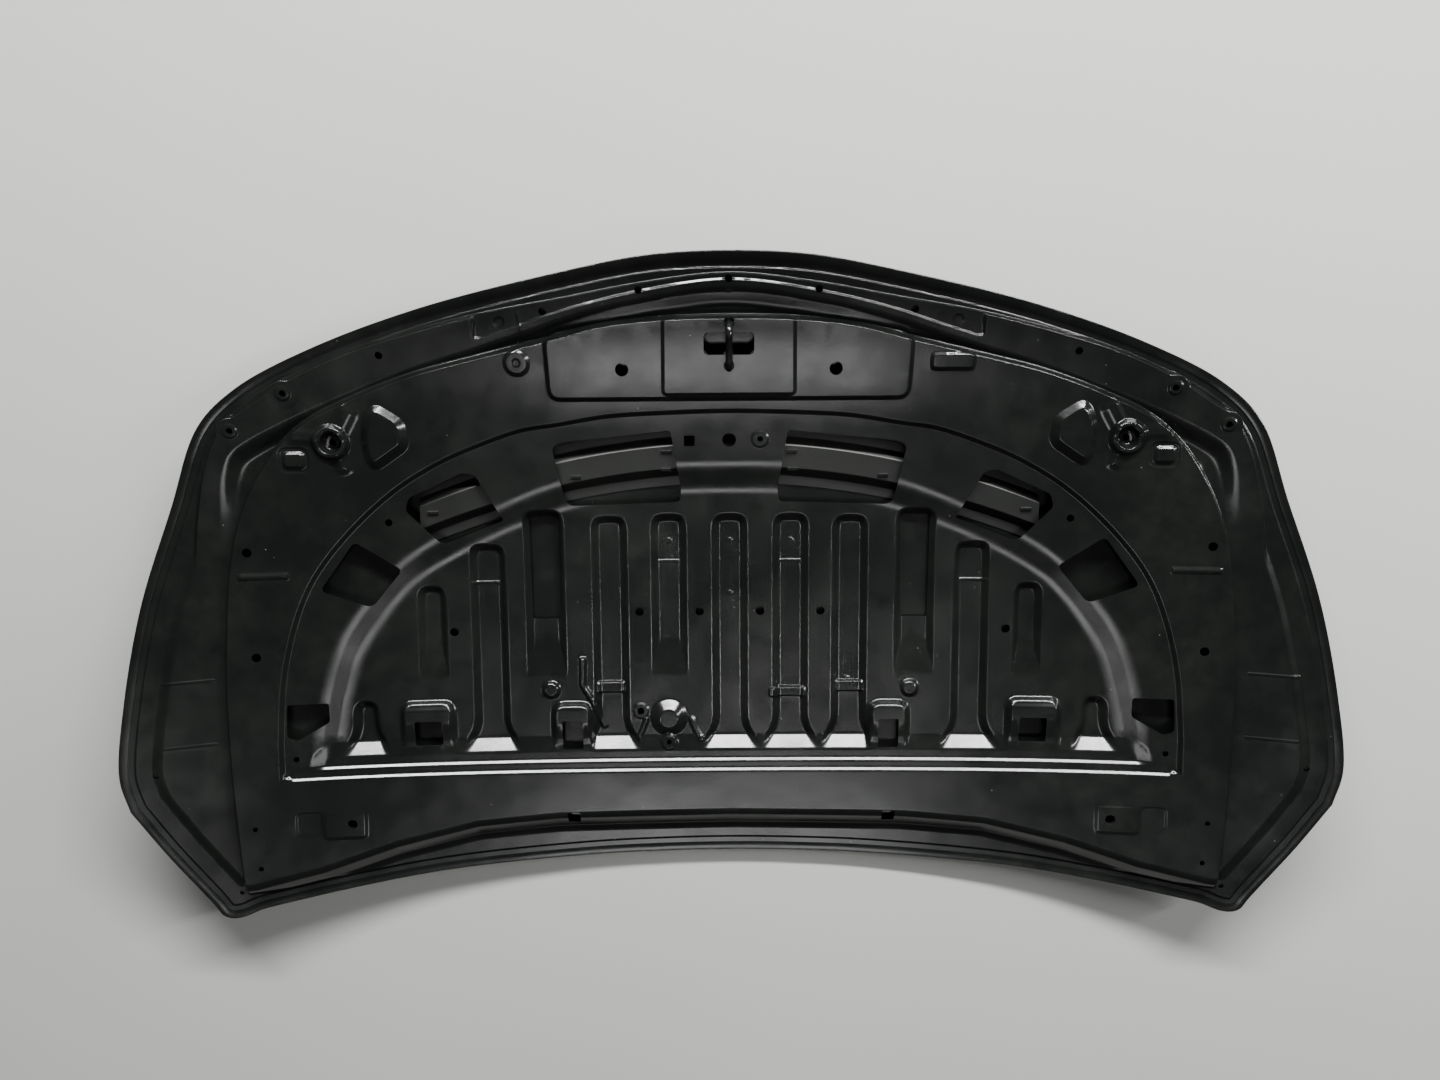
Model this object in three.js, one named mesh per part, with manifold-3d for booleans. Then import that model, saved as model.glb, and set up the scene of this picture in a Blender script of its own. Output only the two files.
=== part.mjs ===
// A pressed-steel car bonnet, lying on its outer skin with the underside up.
// Plan sizes are in millimetres from a datum on the centre line: +X to the right, +Y to the nose,
// +Z out of the underside. Heights of pressed forms are measured from the skin's inner face.

import * as THREE from 'three';
import { mergeVertices } from 'three/addons/utils/BufferGeometryUtils.js';
import Module from 'manifold-3d';

const wasm = await Module();
wasm.setup();

// Overall plan
const NOSE_Y = 396;
const REAR_Y = -361;
const TIP_Y = -427;
const TIP_X = 634;
const HALF_WIDTH = 754;

// Crown of the skin: how far its edges rise above the middle
const SIDE_RISE = 34;
const SIDE_CURL = 40;
const REAR_RISE = 16;
const NOSE_RISE = 50;
const NOSE_CURL = 35;
const CROWN_LENGTH = 400;
const CROWN_WIDTH = 740;

// Sheets
const SKIN_T = 0.7;
const PANEL_T = 0.7;
const BRACE_T = 1.0;
const HINGE_PLATE_T = 1.8;
const STRIKER_PLATE_T = 1.5;
const SEAT_GAP = 0.45;
const GLUE_GAP = 0.75;

// Hem round the edge
const HEM_WIDTH = 10;
const HEM_GAP = 0.6;
const EDGE_CLEARANCE = 1.5;
const HEM_ZONE = 16;

// Levels of the inner panel above the skin
const SEAL_H = 3.5;
const FLANGE_H = 8;
const LEDGE_H = 14;
const GROOVE_H = 5;
const FRAME_H = 24;
const PAN_LEDGE_H = 20;
const RIB_H = 12;
const CHANNEL_H = 4.5;
const TOWER_H = 15;
const PAN_FOOT_H = 17;
const REAR_STEP_H = 20.5;

// Heights added on top of a level
const LATCH_RISE = 5;
const LATCH_FACET_RISE = 3;
const STOP_RISE = 7;
const CUP_RISE = 6;
const CUP_DEPTH = 9;
const PAD_RISE = 2;
const BEAD_RISE = 2.5;
const BOSS_RISE = 4;
const DOME_RISE = 9;

// Plan width of a small form's wall
const SMALL_WALL = 5.8;

// Widths of the side flange and the steps at the pan's rear side
const SIDE_FLANGE_IN = 37;
const PAN_REAR_Y = -206;
const STEP_1_Y = -231;
const STEP_2_Y = -243;
const PAN_HALF = 532;

// Channels of the pan
const CHANNEL_HALF = 24.5;
const CHANNEL_WALL = 13;
const CHANNEL_FLARE = 54;
const FLARE_LENGTH = 42;
const SHORT_CHANNEL_Y = -130;

// Latch striker and the plate behind it
const STRIKER_Y = 290;
const STRIKER_SPAN = 52;
const WIRE_D = 8;
const WIRE_BEND = 12;
const LOOP_HEIGHT = 24;
const LEG_DEPTH = 9;
const LEG_CLEARANCE = 1.1;
const LATCH_SLOT = [60, 26];
const STRIKER_PLATE = [140, 78];
const LATCH_Y = 276;

// Front brace behind the windows
const BRACE_HALF = 385;
const BRACE_WIDTH = 72;
const BRACE_Y = 156;
const BRACE_SWEEP = 76;
const BRACE_HEIGHT = 12;
const BRACE_FLANGE = 12;

// Hinges, nuts and mastic
const HINGE = [480, -307];
const HINGE_BOLT_R = 6.5;
const HINGE_PLATE_MARGIN = 0.8;
const HINGE_NUT = { flats: 20, height: 9 };
const STOPS = [[532, 235], [597, 191]];
const STOP_BOLT_R = 4;
const STOP_SEAT_R = 20;
const STOP_NUT = { flats: 11, height: 5 };
const MASTIC_R = 14;
const MASTIC = [[0, 20], [0, -120], [77, -20], [152, 20], [152, -160], [305, -70]];

// Mesh spacing
const EDGE_STEP = 38;
const LINE_STEP = 50;
const FILL_STEP = 80;
const SKIN_STEP = 52;
const CLOSEST = 5;

const BLACK_PRIMER = 0x20221f;
const MASTIC_GREY = 0x3a3b38;

const clamp = (value, low, high) => Math.min(high, Math.max(low, value));

// The skin's inner face: a shallow bowl, flat in the middle and curling up to the edges.
function crown(x, y) {
  const across = (x / CROWN_WIDTH) ** 2;
  const along = (y / CROWN_LENGTH) ** 2;
  const side = SIDE_RISE * across + SIDE_CURL * across ** 2;
  return side + (y < 0 ? REAR_RISE * along : NOSE_RISE * along + NOSE_CURL * along ** 2);
}

const slope = (x, y) => [crown(x + 1, y) - crown(x - 1, y), crown(x, y + 1) - crown(x, y - 1)].map((d) => d / 2);

// Plan loops are lists of [x, y]. A half runs from the centre line at the nose round to the rear.
const mirror = (points) => points.map(([x, y]) => [-x, y]).reverse();
const wholeLoop = (half) => [...half, ...mirror(half.filter(([x]) => x > 0.01))];
const bothSides = (loop) => [loop, mirror(loop)];

// A smooth curve through the points, as points a step apart.
function spline(points, step) {
  const through = points.map(([x, y]) => new THREE.Vector3(x, y, 0));
  const curve = new THREE.CatmullRomCurve3(through, false, 'centripetal');
  const count = Math.max(1, Math.round(curve.getLength() / step));
  return curve.getSpacedPoints(count).map((p) => [p.x, p.y]);
}

// A polygon with its corners rounded over about the given length.
function rounded(points, radius) {
  return points.flatMap((corner, i) => {
    const towards = ([x, y]) => {
      const share = Math.min(radius / Math.hypot(x - corner[0], y - corner[1]), 0.45);
      return new THREE.Vector2(corner[0] + (x - corner[0]) * share, corner[1] + (y - corner[1]) * share);
    };
    const before = towards(points[(i + points.length - 1) % points.length]);
    const after = towards(points[(i + 1) % points.length]);
    const bend = new THREE.QuadraticBezierCurve(before, new THREE.Vector2(...corner), after);
    return bend.getPoints(radius > 7 ? 2 : 1).map((p) => [p.x, p.y]);
  });
}

const box = (x0, y0, x1, y1, radius = 6) => rounded([[x0, y0], [x1, y0], [x1, y1], [x0, y1]], radius);

function circle([x, y], radius, sides = radius > 5 ? 8 : 6) {
  return Array.from({ length: sides }, (_, i) => {
    const angle = ((i + 0.5) / sides) * 2 * Math.PI;
    return [x + radius * Math.cos(angle), y + radius * Math.sin(angle)];
  });
}

// Distance from a point to a loop, positive inside.
function insideBy(loop, x, y) {
  let nearest = Infinity;
  let inside = false;
  for (let i = 0, j = loop.length - 1; i < loop.length; j = i, i += 1) {
    const [ax, ay] = loop[j];
    const [bx, by] = loop[i];
    const [dx, dy] = [bx - ax, by - ay];
    const t = clamp(((x - ax) * dx + (y - ay) * dy) / (dx * dx + dy * dy || 1), 0, 1);
    nearest = Math.min(nearest, (x - ax - t * dx) ** 2 + (y - ay - t * dy) ** 2);
    if ((ay > y) !== (by > y) && x < ax + ((y - ay) / dy) * dx) inside = !inside;
  }
  return inside ? Math.sqrt(nearest) : -Math.sqrt(nearest);
}

// The loop moved inwards by a distance, without points that would come too near another side.
function inset(loop, distance) {
  const area = loop.reduce((sum, [x, y], i) => {
    const [bx, by] = loop[(i + 1) % loop.length];
    return sum + x * by - bx * y;
  }, 0);
  const turn = Math.sign(area);
  const inward = ([ax, ay], [bx, by]) => {
    const length = Math.hypot(bx - ax, by - ay) || 1;
    return [(-(by - ay) / length) * turn, ((bx - ax) / length) * turn];
  };
  const moved = loop.map((point, i) => {
    const first = inward(loop[(i + loop.length - 1) % loop.length], point);
    const second = inward(point, loop[(i + 1) % loop.length]);
    const sum = [first[0] + second[0], first[1] + second[1]];
    const size = Math.hypot(...sum) || 1;
    const reach = distance / Math.max((sum[0] * first[0] + sum[1] * first[1]) / size, 0.6);
    return [point[0] + (sum[0] / size) * reach, point[1] + (sum[1] / size) * reach];
  });
  return moved.filter(([x, y]) => insideBy(loop, x, y) > distance * 0.85);
}

// Points no further apart than the step along each side of a loop.
function along(loop, step) {
  return loop.flatMap(([x, y], i) => {
    const [bx, by] = loop[(i + 1) % loop.length];
    const count = Math.max(1, Math.ceil(Math.hypot(bx - x, by - y) / step));
    return Array.from({ length: count }, (_, k) => [x + ((bx - x) * k) / count, y + ((by - y) * k) / count]);
  });
}

// The bonnet's edge: the nose, the sides and the swept-back rear corners.
const frontEdge = spline([[0, NOSE_Y], [95, 391.5], [190, 375], [365, 334], [500, 287], [590, 241], [638, 195], [677, 98],
  [718, -18], [745, -145], [HALF_WIDTH, -235], [744, -278]], EDGE_STEP);
const tipCorner = [[TIP_X + 20, TIP_Y + 17], [TIP_X + 12, TIP_Y + 5], [TIP_X + 1, TIP_Y], [TIP_X - 14, TIP_Y + 1]];
const rearEdge = spline([[562, -412], [480, -398], [364, -381], [180, -366], [90, -362.4], [0, REAR_Y]], EDGE_STEP);
const edge = wholeLoop([...frontEdge, [706, -338], ...tipCorner, [600, -419], ...rearEdge]);

// The ledge along the nose, and the groove between it and the frame.
const ledgeFront = spline([[0, 373], [106, 362], [197, 346], [304, 327], [412, 299], [472, 279], [532, 251],
  [582, 219], [606, 202]], LINE_STEP);
const ledge = wholeLoop([...ledgeFront, [612, 166], [570, 130], [440, 200], [0, 290]]);
const grooveFront = spline([[0, 357], [106, 344], [197, 323], [250, 306], [305, 289], [382, 266], [460, 236],
  [522, 210], [578, 182], [601, 167]], LINE_STEP);
const groove = wholeLoop([...grooveFront, [560, 130], [440, 200], [0, 290]]);

// The frame: the raised ring round the pan, and the roll that takes it down to the rear flange.
const frameFront = spline([[0, 326], [85, 324], [150, 317], [213, 302], [302, 281], [380, 261], [455, 233],
  [510, 206], [550, 173], [580, 130], [601, 85], [616, 25], [625, -60], [629, -130], [628, -230], [623, -322],
  [616, -398]], LINE_STEP);
const frameRear = spline([[562, -397], [480, -383], [364, -366], [180, -351], [0, REAR_Y + 15]], LINE_STEP);
const frame = wholeLoop([...frameFront, ...frameRear]);
const rearRoll = wholeLoop([[0, -296], [222, -299], [326, -307], [430, -330], [520, -358], [600, -374], [700, -380],
  [700, -470], [0, -470]]);

// The pan inside the frame
const panFront = spline([[0, 214], [83, 212], [150, 208], [212, 198], [253, 192], [312, 172], [358, 152],
  [411, 120], [464, 74], [507, 24], [529, -14], [548, -68], [560, -126], [566, -200]], LINE_STEP);
const pan = wholeLoop([...panFront, [566, STEP_2_Y - 4], [0, STEP_2_Y - 4]]);
const floorFront = spline([[0, 151], [110, 147], [210, 129], [285, 102], [361, 65], [418, 28], [462, -21],
  [495, -71], [516, -134], [528, -190]], LINE_STEP);
const floor = wholeLoop([...floorFront, [528, STEP_2_Y - 15], [0, STEP_2_Y - 15]]);

// One channel of the pan. Its lower end may open out through a flare.
function channel(x, top, bottom, flare = CHANNEL_HALF, half = CHANNEL_HALF) {
  const neck = bottom + FLARE_LENGTH;
  const side = [[half - 6, top], [half, top - 8], [half, neck], [(half + flare) / 2, neck - 22], [flare, bottom]];
  return [...side, ...mirror(side)].map(([dx, y]) => [x + dx, y]);
}

const PAN_FOOT_Y = PAN_REAR_Y - 12;
const CHANNELS = [
  channel(0, 84, PAN_FOOT_Y, CHANNEL_FLARE),
  channel(-77, 84, SHORT_CHANNEL_Y),
  channel(77, 84, PAN_FOOT_Y, CHANNEL_FLARE),
  ...bothSides(channel(152, 82, PAN_FOOT_Y, CHANNEL_FLARE)),
  ...bothSides(channel(234, 90, SHORT_CHANNEL_Y, 27, 27)),
  ...bothSides(channel(305, 48, PAN_FOOT_Y, CHANNEL_FLARE)),
  ...bothSides(channel(376, -4, SHORT_CHANNEL_Y, 20, 20)),
  ...bothSides(channel(462, -150, PAN_FOOT_Y, 44, 18)),
];

// Raised forms of the frame, on the right side
const stopPad = rounded([[386, 168], [389, 203], [424, 226], [440, 212], [447, 184], [444, 150], [430, 138]], 6);
const CUP = [480, 176];
const hingePad = box(HINGE[0] - 20, HINGE[1] - 20, HINGE[0] + 37, HINGE[1] + 20, 7);
const latchFace = rounded([[-222, 303], [-150, 318], [0, 327], [150, 318], [222, 303], [220, 222], [-220, 222]], 18);
const latchFacet = rounded([[-80, 325], [0, 327], [80, 325], [82, 228], [-82, 228]], 3);

const LATCH_LEVEL = FRAME_H + LATCH_RISE + LATCH_FACET_RISE;

// What a pressing does to the level below it. One that covers sets its own level.
const to = (level) => ({ covers: true, height: () => level });
const by = (rise) => ({ covers: false, height: (below) => below + rise });

// A flat pad: a plane with the skin's slope at one point, at a level above that point.
function flat([px, py], level) {
  const [sx, sy] = slope(px, py);
  const plane = (x, y) => crown(px, py) + sx * (x - px) + sy * (y - py) + level;
  return { covers: true, height: (_, x, y) => plane(x, y) - crown(x, y) };
}

const press = (loop, run, effect) => ({ loop: along(loop, 2 * LINE_STEP), run, ...effect });
const hemEnd = press(inset(edge, HEM_ZONE), SMALL_WALL, to(SEAL_H));

// Pressed forms in the order in which they build on each other, each reached over its wall's run.
const PRESSINGS = [
  hemEnd,
  press(inset(edge, SIDE_FLANGE_IN), 14, to(FLANGE_H)),
  press(ledge, 8, to(LEDGE_H)),
  press(groove, 24, to(GROOVE_H)),
  press(frame, 11, to(FRAME_H)),
  press(pan, 7, to(PAN_LEDGE_H)),
  press(floor, 46, to(RIB_H)),
  ...CHANNELS.map((loop) => press(loop, CHANNEL_WALL, to(CHANNEL_H))),
  ...bothSides(box(172, -270, 232, -160, 12)).map((loop) => press(loop, 9, to(TOWER_H))),
  ...bothSides(box(347, -270, 423, -158, 10)).map((loop) => press(loop, 9, to(TOWER_H))),
  press(box(-PAN_HALF, -275, PAN_HALF, PAN_REAR_Y, 24), 16, to(PAN_FOOT_H)),
  press(box(-PAN_HALF - 24, -284, PAN_HALF + 24, STEP_1_Y, 10), SMALL_WALL, to(REAR_STEP_H)),
  press(box(-PAN_HALF - 43, -293, PAN_HALF + 43, STEP_2_Y, 10), SMALL_WALL, to(FRAME_H)),
  press(rearRoll, 36, to(SEAL_H)),
  press(latchFace, 8, by(LATCH_RISE)),
  press(latchFacet, SMALL_WALL, flat([0, LATCH_Y], LATCH_LEVEL)),
  ...bothSides(stopPad).map((loop) => press(loop, 7, by(STOP_RISE))),
  ...bothSides(circle(CUP, 24, 12)).map((loop) => press(loop, 7, by(CUP_RISE))),
  ...bothSides(circle(CUP, 15, 10)).map((loop) => press(loop, SMALL_WALL, by(-CUP_DEPTH))),
  ...bothSides(box(511, 143, 539, 167, 8)).map((loop) => press(loop, SMALL_WALL, by(BOSS_RISE))),
  ...[-1, 1].flatMap((side) => [
    press(side > 0 ? hingePad : mirror(hingePad), SMALL_WALL, flat([side * HINGE[0], HINGE[1]], FRAME_H + PAD_RISE)),
    ...STOPS.map(([x, y]) => press(circle([side * x, y], STOP_SEAT_R, 10), SMALL_WALL, flat([side * x, y], LEDGE_H))),
  ]),
  ...bothSides(box(540, 7, 602, 19, 5)).map((loop) => press(loop, SMALL_WALL, by(BEAD_RISE))),
  press(circle([-253, 269], 17, 12), SMALL_WALL, by(BOSS_RISE)),
  press(box(239, 256, 295, 280, 4), SMALL_WALL, by(BOSS_RISE)),
  press(circle([-79, -181], 26, 12), 12, by(DOME_RISE)),
];

const reached = (form, x, y) => clamp(insideBy(form.loop, x, y) / form.run, 0, 1);

// Level of the inner panel's lower face above the skin.
function pressed(x, y) {
  const level = PRESSINGS.reduce((below, form) => {
    const share = reached(form, x, y);
    return share > 0 ? below + (form.height(below, x, y) - below) * share : below;
  }, HEM_GAP);
  return HEM_GAP + (level - HEM_GAP) * reached(hemEnd, x, y);
}

// The two lines of each pressing's wall, without stretches that later pressings cover.
function creases() {
  return PRESSINGS.flatMap((form, i) => {
    const later = PRESSINGS.slice(i + 1).filter((other) => other.covers && form !== hemEnd);
    const hidden = ([x, y]) => later.some((other) => reached(other, x, y) === 1);
    return [form.loop, along(inset(form.loop, form.run + 0.3), 2 * LINE_STEP)].flatMap((loop) => {
      const sides = loop.map((point, k) => [point, loop[(k + 1) % loop.length]]);
      return sides.filter(([a, b]) => !(hidden(a) && hidden(b)));
    });
  });
}

// The triangles of a Delaunay net over plan points, adding one point at a time.
function delaunay(points) {
  const far = 1e5;
  const all = [...points.map(([x, y], i) => [x + 0.002 * Math.sin(i * 12.9898), y + 0.002 * Math.cos(i * 7.233)]),
    [-far, -far], [far, -far], [0, far]];
  const circled = (a, b, c) => {
    const [ax, ay] = all[a];
    const [bx, by] = [all[b][0] - ax, all[b][1] - ay];
    const [cx, cy] = [all[c][0] - ax, all[c][1] - ay];
    const d = 2 * (bx * cy - by * cx);
    const ux = (cy * (bx * bx + by * by) - by * (cx * cx + cy * cy)) / d;
    const uy = (bx * (cx * cx + cy * cy) - cx * (bx * bx + by * by)) / d;
    return { corners: [a, b, c], x: ax + ux, y: ay + uy, r2: ux * ux + uy * uy };
  };
  let net = [circled(points.length, points.length + 1, points.length + 2)];
  points.forEach((_, i) => {
    const [x, y] = all[i];
    const rim = new Map();
    net = net.filter((t) => {
      if ((x - t.x) ** 2 + (y - t.y) ** 2 >= t.r2) return true;
      [[0, 1], [1, 2], [2, 0]].forEach(([j, k]) => {
        const [a, b] = [t.corners[j], t.corners[k]];
        if (!rim.delete(`${b},${a}`)) rim.set(`${a},${b}`, [a, b]);
      });
      return false;
    });
    rim.forEach(([a, b]) => net.push(circled(a, b, i)));
  });
  return net.map((t) => t.corners).filter((corners) => corners.every((i) => i < points.length));
}

// Points kept a distance apart. Placing one beside another gives the first one's number.
function pointStore() {
  const points = [];
  const cells = new Map();
  const cell = (x, y, i, j) => `${Math.floor(x / CLOSEST) + i},${Math.floor(y / CLOSEST) + j}`;
  const place = ([x, y]) => {
    for (let i = -1; i <= 1; i += 1) {
      for (let j = -1; j <= 1; j += 1) {
        const found = (cells.get(cell(x, y, i, j)) ?? [])
          .find((k) => Math.hypot(points[k][0] - x, points[k][1] - y) < CLOSEST);
        if (found !== undefined) return found;
      }
    }
    const own = cell(x, y, 0, 0);
    cells.set(own, [...(cells.get(own) ?? []), points.length]);
    return points.push([x, y]) - 1;
  };
  return { points, place };
}

// Points in staggered rows over the whole plan.
function staggered(step) {
  const rise = step * 0.866;
  const rows = Math.ceil((NOSE_Y - TIP_Y) / rise);
  const columns = Math.ceil(HALF_WIDTH / step);
  return Array.from({ length: rows * (2 * columns + 1) }, (_, k) => {
    const row = Math.floor(k / (2 * columns + 1));
    const column = (k % (2 * columns + 1)) - columns;
    return [(column + (row % 2) * 0.5) * step, TIP_Y + row * rise];
  });
}

// Twice the area of a triangle, positive when its corners turn to the left.
const turnOf = ([ax, ay], [bx, by], [cx, cy]) => (bx - ax) * (cy - ay) - (by - ay) * (cx - ax);
const crossing = (a, b, c, d) => turnOf(a, b, c) * turnOf(a, b, d) < 0 && turnOf(c, d, a) * turnOf(c, d, b) < 0;

// Sides cut where they cross each other.
function cutAtCrossings(sides) {
  return sides.flatMap(([a, b]) => {
    const cuts = sides.filter(([c, d]) => crossing(a, b, c, d)).map(([c, d]) => {
      const near = Math.abs(turnOf(c, d, a));
      return near / (near + Math.abs(turnOf(c, d, b)));
    });
    const stops = [0, ...cuts.sort((s, t) => s - t), 1];
    const at = (t) => [a[0] + (b[0] - a[0]) * t, a[1] + (b[1] - a[1]) * t];
    return stops.slice(1).map((t, i) => [at(stops[i]), at(t)]);
  });
}

// The net with its sides swapped until it holds each side given.
function following(points, faces, sides) {
  const across = new Map();
  const key = (a, b) => a * points.length + b;
  const put = (a, b, c) => [[a, b, c], [b, c, a], [c, a, b]].forEach(([i, j, k]) => across.set(key(i, j), k));
  const cross = (...ends) => new Set(ends).size === 4 && crossing(...ends.map((i) => points[i]));
  faces.forEach((corners) => put(...corners));
  sides.filter(([p, q]) => p !== q && !across.has(key(p, q)) && !across.has(key(q, p))).forEach(([p, q]) => {
    const all = [...across.keys()].map((k) => [Math.floor(k / points.length), k % points.length]);
    const queue = all.filter(([a, b]) => a < b && across.has(key(b, a)) && cross(a, b, p, q));
    for (let turn = 0; queue.length > 0 && turn < 200; turn += 1) {
      const [a, b] = queue.shift();
      const [c, d] = [across.get(key(a, b)), across.get(key(b, a))];
      if (cross(a, b, c, d)) {
        across.delete(key(a, b));
        across.delete(key(b, a));
        put(a, d, c);
        put(d, b, c);
        if (cross(c, d, p, q)) queue.push([c, d]);
      } else {
        queue.push([a, b]);
      }
    }
  });
  return [...across].map(([k, c]) => [Math.floor(k / points.length), k % points.length, c])
    .filter(([a, b, c]) => a < b && a < c);
}

// A net inside an outline whose triangles follow the outline and the sides given.
function netOver(outline, sides, fillStep) {
  const { points, place } = pointStore();
  const ring = along(outline, 1.5 * EDGE_STEP);
  const within = ([x, y]) => insideBy(outline, x, y) > CLOSEST;
  const rim = ring.map((point, i) => [place(point), place(ring[(i + 1) % ring.length])]);
  const near = sides.filter(([a, b]) => within(a) && within(b));
  const kept = [...rim, ...cutAtCrossings(near).map(([a, b]) => [place(a), place(b)])];
  const taken = points.slice();
  const open = ([x, y]) => taken.every(([a, b]) => Math.hypot(a - x, b - y) > fillStep * 0.6);
  staggered(fillStep).filter((point) => insideBy(outline, ...point) > fillStep * 0.4 && open(point)).forEach(place);
  const faces = following(points, delaunay(points), kept).filter((corners) => {
    const [x, y] = [0, 1].map((axis) => corners.reduce((sum, i) => sum + points[i][axis], 0) / 3);
    return insideBy(outline, x, y) > 0;
  });
  return { points, faces };
}

// Geometry from lists of corners and triangles.
function meshOf(vertices, triangles) {
  const geometry = new THREE.BufferGeometry();
  geometry.setAttribute('position', new THREE.Float32BufferAttribute(vertices.flat(), 3));
  geometry.setIndex(triangles.flat());
  return geometry;
}

// The face moved along its own normals.
function shifted(vertices, faces, distance) {
  const geometry = meshOf(vertices, faces);
  geometry.computeVertexNormals();
  const normal = geometry.getAttribute('normal');
  return vertices.map(([x, y, z], i) => [x + normal.getX(i) * distance, y + normal.getY(i) * distance,
    z + normal.getZ(i) * distance]);
}

// The sides that only one triangle uses, in that triangle's direction.
function rimOf(faces) {
  const rim = new Map();
  faces.forEach(([a, b, c]) => [[a, b], [b, c], [c, a]].forEach(([from, end]) => {
    if (!rim.delete(`${end},${from}`)) rim.set(`${from},${end}`, [from, end]);
  }));
  return [...rim.values()];
}

// A closed body between an upper and a lower face that share one net.
function closed(faces, upper, lower) {
  const count = upper.length;
  const under = faces.map(([a, b, c]) => [a + count, c + count, b + count]);
  const walls = rimOf(faces).flatMap(([a, b]) => [[b, a, a + count], [b, a + count, b + count]]);
  return meshOf([...upper, ...lower], [...faces, ...under, ...walls]);
}

const sheet = (faces, upper, thickness) => closed(faces, upper, shifted(upper, faces, -thickness));
const raised = (points, height) => points.map(([x, y]) => [x, y, crown(x, y) + height(x, y)]);

// Manifold solids and back
function solidOf(geometry) {
  const plain = geometry.clone();
  ['normal', 'uv'].forEach((name) => plain.deleteAttribute(name));
  const merged = mergeVertices(plain, 1e-5);
  return new wasm.Manifold(new wasm.Mesh({
    numProp: 3,
    vertProperties: merged.getAttribute('position').array,
    triVerts: new Uint32Array(merged.getIndex().array),
  }));
}

function geometryOf(solid) {
  const { vertProperties, triVerts } = solid.getMesh();
  const geometry = new THREE.BufferGeometry();
  geometry.setAttribute('position', new THREE.BufferAttribute(vertProperties, 3));
  geometry.setIndex(new THREE.BufferAttribute(triVerts, 1));
  return geometry;
}

// An upright prism over a plan loop, tall enough to pass through the whole bonnet.
function prism(loop) {
  const height = 400;
  const shape = new THREE.Shape(loop.map(([x, y]) => new THREE.Vector2(x, y)));
  const column = new THREE.ExtrudeGeometry(shape, { depth: height, bevelEnabled: false });
  return solidOf(column.translate(0, 0, -height / 2));
}

const cut = (geometry, loops) => geometryOf(loops.reduce((solid, loop) => solid.subtract(prism(loop)), solidOf(geometry)));

// Windows and holes of the inner panel
const latchTilt = Math.atan(slope(0, LATCH_Y)[1]);
const STRIKER_LEGS = [-1, 1].map((side) => {
  const run = STRIKER_Y - LATCH_Y + (side * STRIKER_SPAN) / 2;
  return [0, LATCH_Y + run * Math.cos(latchTilt)];
});
const LEG_HOLE_R = WIRE_D / 2 + LEG_CLEARANCE;
const slotHalf = LATCH_SLOT.map((size) => size / 2);
const latchSlot = box(-slotHalf[0], STRIKER_Y - slotHalf[1], slotHalf[0], STRIKER_Y + slotHalf[1], 6);

const WINDOWS = [
  ...bothSides(rounded([[62, 97], [60, 113], [72, 187], [209, 173], [218, 166], [204, 98], [197, 93]], 5)),
  ...bothSides(rounded([[281, 76], [314, 134], [329, 137], [396, 106], [400, 90], [360, 49], [353, 48]], 5)),
  ...bothSides(rounded([[464, 53], [508, -8], [447, -31], [408, 16]], 8)),
  ...bothSides(rounded([[218, 80], [252, 78], [251, -52], [217, -52]], 3)),
  ...bothSides(rounded([[505, -151], [554, -151], [556, -192], [543, -197], [505, -176]], 4)),
  ...bothSides(box(367, -211, 401, -179, 3)),
  ...bothSides(box(189, -220, 215, -182, 3)),
  ...bothSides(box(194, -317, 210, -301, 3)),
];

const ROUND_HOLES = [[106, 352, 4.5], [220, 329, 4.5], [416, 279, 4.5], [588, 43, 5.5], [585, -88, 5.5],
  [596, -306, 3], [591, -357, 3], [713, -234, 4], [622, -393, 3], [128, 260.5, 8], [421, 76, 4.5], [38.5, -43, 5.5],
  [115, -43, 5.5], [349, -66, 5.5], [546, -221, 3.5], [...CUP, 4], [...HINGE, HINGE_BOLT_R],
  ...STOPS.map((place) => [...place, STOP_BOLT_R])];
const SINGLE_HOLES = [[0, 364, 4.5], [0, 175, 8.5], [38, 176, 3.5], [-115, -172, 4.5], [-79, -212, 3]];
const SQUARE_HOLE = box(-55.5, 167.5, -42.5, 180.5, 1);

const holes = [
  ...WINDOWS,
  ...ROUND_HOLES.flatMap(([x, y, r]) => bothSides(circle([x, y], r))),
  ...SINGLE_HOLES.map(([x, y, r]) => circle([x, y], r)),
  SQUARE_HOLE,
];

// The scene
const paint = (colour, roughness, metalness) => new THREE.MeshStandardMaterial({ color: colour, roughness, metalness });
const primer = paint(BLACK_PRIMER, 0.32, 0.1);
const bonnet = new THREE.Group();

function add(name, geometry, material = primer) {
  const mesh = new THREE.Mesh(geometry, material);
  mesh.name = name;
  bonnet.add(mesh);
  return mesh;
}

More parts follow.
